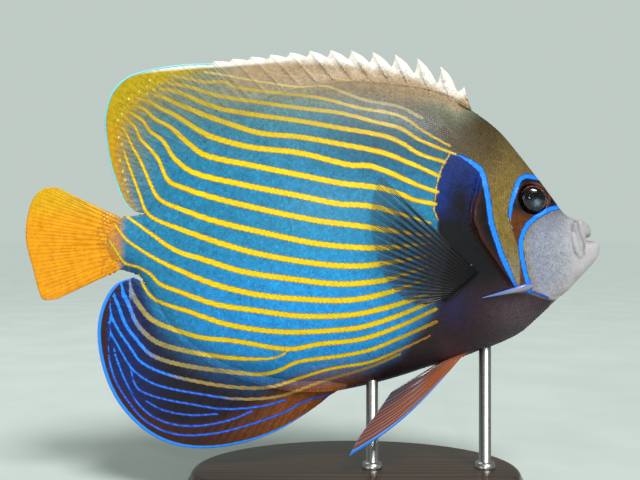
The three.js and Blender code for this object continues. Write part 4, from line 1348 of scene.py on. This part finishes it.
def matt_paper():
    """Matt studio paper, pale green-grey, with faint blotches about 60 mm across."""
    material, tree, place = begin("matt pale paper")
    noise = add(tree, "ShaderNodeTexNoise", {
        "Vector": (place, "Object"), "Scale": per_mm(60), "Detail": 4.0,
    })
    ramp = add(tree, "ShaderNodeValToRGB", {"Fac": (noise, "Fac")})
    for stop, share, paint in zip(ramp.color_ramp.elements, (0.35, 0.65), ("c6d0cb", "bfcac5")):
        stop.position = share
        stop.color = rgba(colour(paint))
    grain = add(tree, "ShaderNodeBump", {
        "Height": (noise, "Fac"), "Strength": 0.15, "Distance": 0.1 * MM,
    })
    finish_with(tree, add(tree, "ShaderNodeBsdfPrincipled", {
        "Base Color": (ramp, "Color"), "Roughness": 0.8, "Normal": (grain, 0),
    }))
    return material


def painted(name, roughness, sockets):
    """A wet living surface, with a grain of 0.8 mm, whose colour is its own `paint` values."""
    material, tree, place = begin(name)
    paint = add(tree, "ShaderNodeAttribute", attribute_name="paint")
    noise = add(tree, "ShaderNodeTexNoise", {
        "Vector": (place, "Object"), "Scale": per_mm(0.8), "Detail": 2.0,
    })
    grain = add(tree, "ShaderNodeBump", {
        "Height": (noise, "Fac"), "Strength": 0.2, "Distance": 0.1 * MM,
    })
    finish_with(tree, add(tree, "ShaderNodeBsdfPrincipled", {
        "Base Color": (paint, "Color"), "Roughness": roughness, "Normal": (grain, 0), **sockets,
    }))
    return material


def cornea():
    """Wet cornea: clear tissue with the index of 1.376, polished by a film of water."""
    material, tree, _ = begin("wet cornea")
    finish_with(tree, add(tree, "ShaderNodeBsdfPrincipled", {
        "Base Color": (1, 1, 1, 1), "Roughness": 0.03, "IOR": 1.376, "Transmission Weight": 1.0,
    }))
    return material


def fin_web():
    """Clear fin skin between the pectoral rays, stained dark near its root."""
    material, tree, _ = begin("clear fin skin")
    paint = add(tree, "ShaderNodeAttribute", attribute_name="paint")
    cover = add(tree, "ShaderNodeAttribute", attribute_name="cover")
    finish_with(tree, add(tree, "ShaderNodeBsdfPrincipled", {
        "Base Color": (paint, "Color"), "Alpha": (cover, "Fac"), "Roughness": 0.32, "IOR": 1.38,
    }))
    return material


def stained_walnut():
    """Walnut turned on a lathe, stained dark and rubbed with satin oil: long growth lines 2 to 3 mm
    apart and fine pores along x."""
    material, tree, place = begin("stained walnut")
    stretch = add(tree, "ShaderNodeMapping", {"Vector": (place, "Object"), "Scale": (0.08, 1, 1)})
    warp = add(tree, "ShaderNodeTexNoise", {"Vector": (stretch, 0), "Scale": per_mm(9), "Detail": 2.0})
    lines = add(tree, "ShaderNodeTexWave", {
        "Vector": (stretch, 0), "Scale": per_mm(14), "Distortion": 5.0, "Detail": 2.0,
    }, bands_direction="Y")
    pores = add(tree, "ShaderNodeTexNoise", {"Vector": (stretch, 0), "Scale": per_mm(0.7), "Detail": 2.0})
    both = add(tree, "ShaderNodeMath", {0: (lines, "Fac"), 1: (warp, "Fac")}, operation="MULTIPLY")
    ramp = add(tree, "ShaderNodeValToRGB", {"Fac": (both, 0)})
    for stop, paint in zip(ramp.color_ramp.elements, ("22140b", "5a3a22")):
        stop.color = rgba(colour(paint))
    grain = add(tree, "ShaderNodeBump", {"Height": (pores, "Fac"), "Strength": 0.25, "Distance": 0.15 * MM})
    finish_with(tree, add(tree, "ShaderNodeBsdfPrincipled", {
        "Base Color": (ramp, "Color"), "Roughness": 0.34, "IOR": 1.5, "Normal": (grain, 0),
        "Coat Weight": 0.25, "Coat Roughness": 0.2,
    }))
    return material


def brushed_steel():
    """Stainless rod brushed round its axis: fine rings 0.2 mm apart, drawn at 0.5 mm to show."""
    material, tree, place = begin("brushed stainless steel")
    stretch = add(tree, "ShaderNodeMapping", {"Vector": (place, "Object"), "Scale": (0.1, 0.1, 1)})
    rings = add(tree, "ShaderNodeTexNoise", {"Vector": (stretch, 0), "Scale": per_mm(0.5), "Detail": 3.0})
    rough = add(tree, "ShaderNodeMapRange", {"Value": (rings, "Fac"), "To Min": 0.22, "To Max": 0.4})
    grain = add(tree, "ShaderNodeBump", {"Height": (rings, "Fac"), "Strength": 0.12, "Distance": 0.05 * MM})
    finish_with(tree, add(tree, "ShaderNodeBsdfPrincipled", {
        "Base Color": rgba(colour("b9b8b4")), "Metallic": 1.0, "Roughness": (rough, 0), "Normal": (grain, 0),
    }))
    return material


THIN_SLIME = {"Coat Weight": 0.3, "Coat Roughness": 0.1}
SKIN = fish_skin("wet fish skin", 0.42, 0.1, 0.2, 0.1)
SCALE_SKIN = fish_skin("scaled fish skin", 0.46, 0.06, 0.1)
FIN_SKIN = fish_skin("fin skin", 0.4, 0.08, 0.2)


# Building the fish

def build_skin():
    """One skin over the body, the lips and the folds at the corners of the mouth."""
    lips = [lip_rings(UPPER_LIP), lip_rings(LOWER_JAW)]
    folds = [ellipsoid((109.9, side * 5.5, 88.4), (2.7, 2.2, 7.6)) for side in (1, -1)]
    mesh = joined([skin_rings(), *lips, *folds])
    relax(mesh, lambda p: step(p[:, 0], 105, 108), 5, 0.5)
    paint_mesh(mesh, places_of(mesh))
    nodes = ("head", "trunk", "tail_root", "gill_cover_R", "gill_cover_L", "upper_lip", "lower_jaw")
    piece("skin", mesh, SKIN, "flank_skin", nodes)


FIN_MARGINS = {"dorsal_fin_soft": (CYAN_RIM, 0.85), "anal_fin": (RIM_BLUE, 1.5)}  # colour and mm


def build_median_fins():
    """The four fins in the middle plane. Two of them have a bright margin."""
    fins = [
        ("dorsal_fin_spiny", "spine_fin", *spiny_dorsal(), fin_heights(34, -0.36)),
        ("dorsal_fin_soft", "yellow_fin", soft_dorsal(), np.linspace(0, 1, 191), fin_heights(44, -0.18)),
        ("anal_fin", "dark_fin", anal(), np.linspace(0, 1, 211), fin_heights(50)),
        ("caudal_fin", "yellow_fin", caudal(), np.linspace(0, 1, 171), fin_heights(44)),
    ]
    for node, slot, point, shares, heights in fins:
        mesh, points, rim = fin_mesh(node + "_skin", point, shares, heights)
        margin = (rim, *FIN_MARGINS[node]) if node in FIN_MARGINS else ()
        paint_mesh(mesh, points, *margin)
        piece(node + "_skin", mesh, FIN_SKIN, slot, (node,))
    return [point for _, _, point, *_ in fins]


def scale_regions(places, px, py):
    """Which scales each part of the body keeps. None grow on the eye, in the gill slit or on the lips.
    The borders between the parts are loosened by 1.2 pixels, or lap by 4 on the nape."""
    loose = rng.normal(0, 1.2, len(px))
    nape = NAPE_CORNER[0] - 0.9 * (NAPE_CORNER[1] - py) - px
    behind = np.where(py < NAPE_CORNER[1], nape > 0, px + loose < gill_at(py) - 3) | (py > BREAST_TOP)
    lapped = (py < NAPE_CORNER[1]) & (nape > -4)
    ahead = (px + loose > SNOUT_REAR) | ((px > CHEEK_CORNER[0]) & (py > CHEEK_CORNER[1]))
    bare = np.hypot(places[:, 0] - EYE_PLACE[0], places[:, 1] - EYE_PLACE[1]) < 7.6
    bare |= (np.abs(px - gill_at(py) - 0.5) < 2.5) & (py > SLIT_ROWS[0]) & (py < SLIT_ROWS[1])
    return {
        "flank": ~bare & (behind | lapped) & (places[:, 0] < BREAST_FRONT_X),
        "head": ~bare & ~behind & ~ahead,
        "snout": ~bare & ~behind & ahead & (px + 4 * loose < BARE_LIPS),
    }


def build_body_scales(side, letter):
    """The coats of one side of the body. Scales shrink by 0.3 towards the lips."""
    for name, region, first, last, pitch, slot in COATS:
        places = body_places(first, last, pitch)
        frames = body_frames(places, side)
        px, py = photo_place(*frames[0].T)
        keep = scale_regions(places, px, py)[region]
        size = pitch * (1 - 0.3 * step(px[keep], *SMALLER_COLUMNS))
        kept = tuple(values[keep] for values in frames)
        scale_coat(name + letter, kept, size, unwrapped(places, side)[keep], slot)


def build_fin_scales(side, letter, fins):
    """The coats of one side of the fins. Scales shrink by 0.3 towards the margin."""
    for (name, low, high, slot, row), point in zip(FIN_COATS, fins):
        places = fin_places(point, FIN_SCALE_PITCH, low, high, side)
        size = FIN_SCALE_PITCH * (1 - 0.3 * np.maximum(places[:, 1], 0))
        across = (0.03 if side < 0 else 0.53) + 0.4 * places[:, 0]
        unwrap = np.column_stack([across, row + 0.07 * places[:, 1]])
        scale_coat(name + letter, fin_frames(point, places, side), size, unwrap, slot)


def build_scales(fins):
    """The coats of both sides. No coat crosses from one side to the other."""
    for side, letter in SIDES:
        build_body_scales(side, letter)
        build_fin_scales(side, letter, fins)


def fin_pad(side):
    """Dark flesh at the pectoral root: an ellipsoid along the root, half sunk in the flank."""
    tilt = np.arctan2(*(PECTORAL_ROOT[0] - PECTORAL_ROOT[1])[::-1])
    rings = ellipsoid((0, 0, 0), (9.4, 1.5, 2.9), 40, 32)
    x = rings[..., 0] * np.cos(tilt) - rings[..., 2] * np.sin(tilt)
    z = rings[..., 0] * np.sin(tilt) + rings[..., 2] * np.cos(tilt)
    place = PECTORAL_ROOT.mean(axis=0) + np.array([0.4, -0.3])
    x, z = x + place[0], z + place[1]
    return np.stack([x, side * (smooth_flank(x, z) + rings[..., 1]), z], -1)


WEB_DARK, WEB_CLEAR, WEB_SMOKE = map(colour, ("120b11", "46525e", "282027"))
PECTORAL_FRONT = [(63, 78), (46, 95)]


def build_pectoral_web(side, letter, finish):
    """The web is dark and nearly solid at its root, and clears on the way to its margin."""
    shares, heights = np.linspace(0, 1, 96), fin_heights(40, -0.05)
    mesh, _, _ = fin_mesh("pectoral_web_" + letter, pectoral_web(side), shares, heights)
    v = np.tile(np.clip(heights, 0, 1), 2 * len(shares))
    add_values(mesh, "paint", spread(evenly(WEB_DARK, v), WEB_CLEAR, step(v, 0.1, 0.7)))
    add_values(mesh, "cover", mix(0.98, 0.1, step(v, 0.12, 0.6)))
    piece("pectoral_web_" + letter, mesh, finish, "clear_fin", ("pectoral_fin_" + letter,))


def build_pectoral_rays(side, letter, finish):
    """The rays and the pad at their root in one mesh, paler and clearer away from the root."""
    points, triangles, count = [], [], 0
    for rings in pectoral_rays(side) + [fin_pad(side)]:
        ring_points, ring_triangles = loft(rings)
        points.append(ring_points)
        triangles.append(ring_triangles + count)
        count += len(ring_points)
    mesh = turned_out(mesh_of("pectoral_rays_" + letter, np.vstack(points), np.vstack(triangles)))
    flat = places_of(mesh)[:, [0, 2]]
    away = np.linalg.norm(flat - PECTORAL_ROOT.mean(axis=0), axis=1)
    paint = spread(evenly(WEB_DARK, away), WEB_SMOKE, step(away, 8, 38))
    paint = spread(paint, DEEP_LINE_BLUE, 0.5 * bell(line_distance(*flat.T, PECTORAL_FRONT), 0, 0.5))
    add_values(mesh, "paint", paint)
    add_values(mesh, "cover", mix(1, 0.38, step(away, 14, 46)))
    piece("pectoral_rays_" + letter, mesh, finish, "clear_fin")


def build_pectorals():
    """A web and its rays on each side, of one clear skin."""
    finish = fin_web()
    for side, letter in SIDES:
        build_pectoral_web(side, letter, finish)
        build_pectoral_rays(side, letter, finish)


PELVIC_RUST, PELVIC_BLUE, PELVIC_DARK = map(colour, ("8c4410", "2a86b4", "241824"))
PELVIC_POSES = [(0, 1, 10), (21.5, 0.45, 11)]  # right and left: dip, fold and mm outwards


def build_pelvics():
    """Rust rays with blue grooves between them, darker inwards, behind a blue spine."""
    finish = painted("rayed fin skin", 0.3, THIN_SLIME)
    for (side, letter), pose in zip(SIDES, PELVIC_POSES):
        shares, heights = np.linspace(0, 1, 73), fin_heights(50, -0.1)
        mesh, _, _ = fin_mesh("pelvic_skin_" + letter, pelvic(side, *pose), shares, heights)
        s = np.tile(np.repeat(shares, len(heights)), 2)
        v = np.tile(np.clip(heights, 0, 1), 2 * len(shares))
        groove = (1 - step(ray_profile(s, v, PELVIC_RAYS, 0.3), 0.0, 0.08)) * step(v, 0.25, 0.5)
        paint = spread(evenly(PELVIC_RUST, s), PELVIC_DARK, step(s, 0.45, 0.9) * 0.7)
        paint = spread(paint, PELVIC_BLUE, groove * 0.5)
        paint = spread(paint, LINE_BLUE, (1 - step(s, 0.05, 0.09)) * step(v, 0.1, 0.2))
        add_values(mesh, "paint", paint)
        piece("pelvic_skin_" + letter, mesh, finish, "dark_fin", ("pelvic_fin_" + letter,))


CHEEK_SPINE = np.array([(89, 69.2), (67.6, 64.2)])
SPIKE_GREY, SPIKE_DARK = map(colour, ("8d8b94", "4a4650"))


def build_cheek_spines():
    """A flattened spike with a round root: radius falls as 1 - t to the power 0.9."""
    finish = painted("bone under thin skin", 0.32, THIN_SLIME)
    t = np.linspace(0, 1, 40)
    turns = np.linspace(0, 2 * math.pi, 24, endpoint=False)
    for side, letter in SIDES:
        place = mix(*CHEEK_SPINE, t[:, None])
        radius = mix(1.9, 0.12, t**0.9) * mix(0.35, 1, np.clip(t * 5, 0, 1) ** 0.6)
        y = smooth_flank(place[:, 0], place[:, 1]) + mix(0.1, 0.55, np.clip(t * 3, 0, 1)) + radius * 0.6
        ring = np.stack([
            place[:, :1] + 0 * turns, side * (y[:, None] + 0.7 * radius[:, None] * np.cos(turns)),
            place[:, 1:] + radius[:, None] * np.sin(turns),
        ], -1)
        points, triangles = loft(ring)
        mesh = turned_out(mesh_of("cheek_spine_" + letter, points, triangles))
        around = np.append(np.tile(np.sin(turns), len(t)), [0, 0])
        far = np.append(np.repeat(t, len(turns)), [0, 1])
        dark = bell(around, -0.1, 0.3) * step(far, 0.35, 0.7) * 0.7
        paint = spread(evenly(SPIKE_GREY, around), SPIKE_DARK, dark)
        paint = spread(paint, DEEP_LINE_BLUE, step(around, 0.35, 0.6))
        paint = spread(paint, LINE_BLUE, step(-around, 0.55, 0.8) * step(far, 0.45, 0.6))
        add_values(mesh, "paint", paint)
        piece("cheek_spine_" + letter, mesh, finish, "head_skin")


PUPIL, IRIS, IRIS_RING, LENS_REFLECTION_PAINT = map(colour, ("030204", "32140e", "8a4a34", "8fb0c8"))


def eye_surface(name, grow, side):
    """Mesh and points of a flattened ball round the eye's middle, grown by some mm. The points are
    given from that middle."""
    depth = smooth_flank(EYE_PLACE[:1], EYE_PLACE[1:])[0] - EYE_SINK
    centre = np.array([EYE_PLACE[0], side * depth, EYE_PLACE[1]])
    radius = EYE_RADIUS + grow
    rings = ellipsoid((0, 0, 0), (EYE_RADIUS * EYE_FLATNESS + grow, radius, radius), 60, 72)
    rings = np.stack([rings[..., 1], rings[..., 0] * side, rings[..., 2]], -1)
    points, triangles = loft(rings)
    return turned_out(mesh_of(name, points + centre, triangles)), points


def eye_paint(points):
    """Black pupil, a dark iris from 4.9 mm out with a brown ring ahead, and a painted pale reflection on the
    lens.
    """
    x, _, z = points.T
    away = np.hypot(x, z)
    paint = spread(evenly(PUPIL, x), IRIS, step(away, 4.75, 4.95))
    paint = spread(paint, IRIS_RING, bell(away, 5.2, 0.2) * step((x + z) / 7, -0.6, 0.6))
    # Painted reflection: a pale blue-grey spot on the lens, low and ahead of its middle.
    return spread(paint, LENS_REFLECTION_PAINT, bell(np.hypot(x - 1.2, z + 1.5), 0, 1.35) * 0.9)


def build_eyes():
    """An eyeball painted by the distance from its axis, under a clear dome."""
    ball, dome = painted("iris and pupil", 0.15, {"IOR": 1.4}), cornea()
    for side, letter in SIDES:
        mesh, points = eye_surface("eyeball_" + letter, -0.22, side)
        add_values(mesh, "paint", eye_paint(points))
        piece("eyeball_" + letter, mesh, ball, "eye", ("eye_" + letter,))
        piece("cornea_" + letter, eye_surface("cornea_" + letter, 0.06, side)[0], dome, "eye")


def corners_mm(node):
    """Corners of a CAD node's box, in millimetres of the fish's own frame."""
    return [np.array(corner) / MM - FISH_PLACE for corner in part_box(node)]


# Profiles of the stand, from the bottom up. The base's are shares of its radius and height. The
# rod's are shares of its radius and millimetres above its foot, and start with a collar.
BASE_SIDE = [(0.955, 0), (0.985, 0.03), (0.998, 0.1), (1, 0.2), (1, 0.62), (0.993, 0.7)]
BASE_SHOULDER = [
    (0.985 - 0.045 * (1 - math.cos(turn)), 0.76 + 0.24 * math.sin(turn))
    for turn in np.linspace(0, math.pi / 2, 10)
]
BASE_PROFILE = np.array(BASE_SIDE + BASE_SHOULDER + [(0.5, 1)])
ROD_PROFILE = np.array([(1.75, -0.3), (1.75, 0.05), (1.6, 1.6), (1.2, 2.1), (1.0, 2.2)])
ROD_IN_BELLY = 1.2


def lathe(name, middle, reach, radii, heights, sides):
    """Closed surface turned round an upright axis, from radii as shares of its reach in x and y."""
    around = np.linspace(0, 2 * math.pi, sides, endpoint=False)
    rings = np.stack([
        middle[0] + reach[0] * radii[:, None] * np.cos(around),
        middle[1] + reach[1] * radii[:, None] * np.sin(around),
        heights[:, None] + 0 * around,
    ], -1)
    return turned_out(mesh_of(name, *loft(rings)))


def build_base():
    """A turned base with a small chamfer at its foot and a rounded shoulder."""
    low, high = corners_mm("stand_base")
    radii, heights = BASE_PROFILE.T
    heights = low[2] + (high[2] - low[2]) * heights
    mesh = lathe("stand_base_wood", (low + high) / 2, (high - low) / 2, radii, heights, 160)
    piece("stand_base_wood", mesh, stained_walnut(), "stand_wood", ("stand_base",))


def build_rods():
    """Two round rods that end a little way inside the belly."""
    steel = brushed_steel()
    for node in ("stand_rod_1", "stand_rod_2"):
        low, high = corners_mm(node)
        middle, reach = (low + high) / 2, (high - low)[[0, 0]] / 2
        top = belly(middle[:1])[0] + ROD_IN_BELLY
        radii = np.append(ROD_PROFILE[:, 0], [1.0, 0.9])
        heights = np.append(low[2] + ROD_PROFILE[:, 1], [top - 0.2, top])
        mesh = lathe(node + "_steel", middle, reach, radii, heights, 64)
        piece(node + "_steel", mesh, steel, "stand_rod", (node,))


# Camera and studio

def add_camera():
    """The camera stands level, in front of the fish's right flank. Its lens is the sensor's width
    times the distance over the width that the photograph shows of the middle plane."""
    data = bpy.data.cameras.new("camera")
    data.sensor_width = SENSOR_WIDTH
    data.lens = SENSOR_WIDTH * CAMERA_DISTANCE / (PHOTO_WIDTH * PIXEL)
    data.clip_start = 0.01
    camera = placed("camera", data)
    away = (PHOTO_MIDDLE - FISH_ORIGIN_PIXEL) * PIXEL
    place = np.array([away[0], -CAMERA_DISTANCE, -away[1]]) + FISH_PLACE
    camera.location = place * MM
    camera.rotation_euler = (math.pi / 2, 0, 0)
    bpy.context.scene.camera = camera


# Lights, in metres and watts a square metre or watts. The round ones face the fish's middle.
FISH_MIDDLE = Vector((0, 0, 0.11))
KEY_DIRECTION, KEY_POWER, KEY_ANGLE = (-0.3, 0.62, -0.9), 2.95, math.radians(20)
ROUND_LIGHTS = [  # name, place, width and power
    ("fill", (-0.75, -0.65, 0.3), 0.5, 0.8),
    ("flash", (0.03, -0.5, 0.2), 0.03, 0.45),
    ("back", (-0.2, 0.45, 0.9), 0.6, 1.6),
]
FLOOR_REACH = 30.0
SURROUND_LIGHT, SURROUND_SHOWN = 0.36, 0.86  # strength for the lit surfaces and for the camera


def lamp(name, kind, place, towards, power, **settings):
    """A light that shines from its place in a direction."""
    data = bpy.data.lights.new(name, kind)
    data.energy = power
    for key, value in settings.items():
        setattr(data, key, value)
    made = placed(name, data)
    made.location = place
    made.rotation_euler = Vector(towards).to_track_quat("-Z", "Y").to_euler()


def add_floor():
    """A square of pale paper, far wider than the camera sees."""
    mesh = bpy.data.meshes.new("floor")
    corners = [(x * FLOOR_REACH, y * FLOOR_REACH, 0) for x, y in ((-1, -1), (1, -1), (1, 1), (-1, 1))]
    mesh.from_pydata(corners, [], [(0, 1, 2, 3)])
    mesh.materials.append(matt_paper())
    placed("floor", mesh)


def add_surround():
    """A pale surround that lights less than it shows."""
    world = bpy.data.worlds.new("soft studio")
    world.use_nodes = True
    tree = world.node_tree
    seen = add(tree, "ShaderNodeLightPath")
    strength = add(tree, "ShaderNodeMapRange", {
        "Value": (seen, "Is Camera Ray"), "To Min": SURROUND_LIGHT, "To Max": SURROUND_SHOWN,
    })
    background = tree.nodes["Background"]
    background.inputs["Color"].default_value = rgba(colour("ccd9d2"))
    tree.links.new(strength.outputs[0], background.inputs["Strength"])
    bpy.context.scene.world = world


def build_studio():
    """A pale matt floor under soft lights, seen without a film curve."""
    bpy.context.scene.view_settings.view_transform = "Standard"
    add_floor()
    add_surround()
    lamp("key", "SUN", (0, 0, 0), KEY_DIRECTION, KEY_POWER, angle=KEY_ANGLE)
    for name, place, width, power in ROUND_LIGHTS:
        lamp(name, "AREA", place, FISH_MIDDLE - Vector(place), power, shape="DISK", size=width)


build_skin()
median_fins = build_median_fins()
build_scales(median_fins)
build_pectorals()
build_pelvics()
build_cheek_spines()
build_eyes()
build_base()
build_rods()
add_camera()
build_studio()
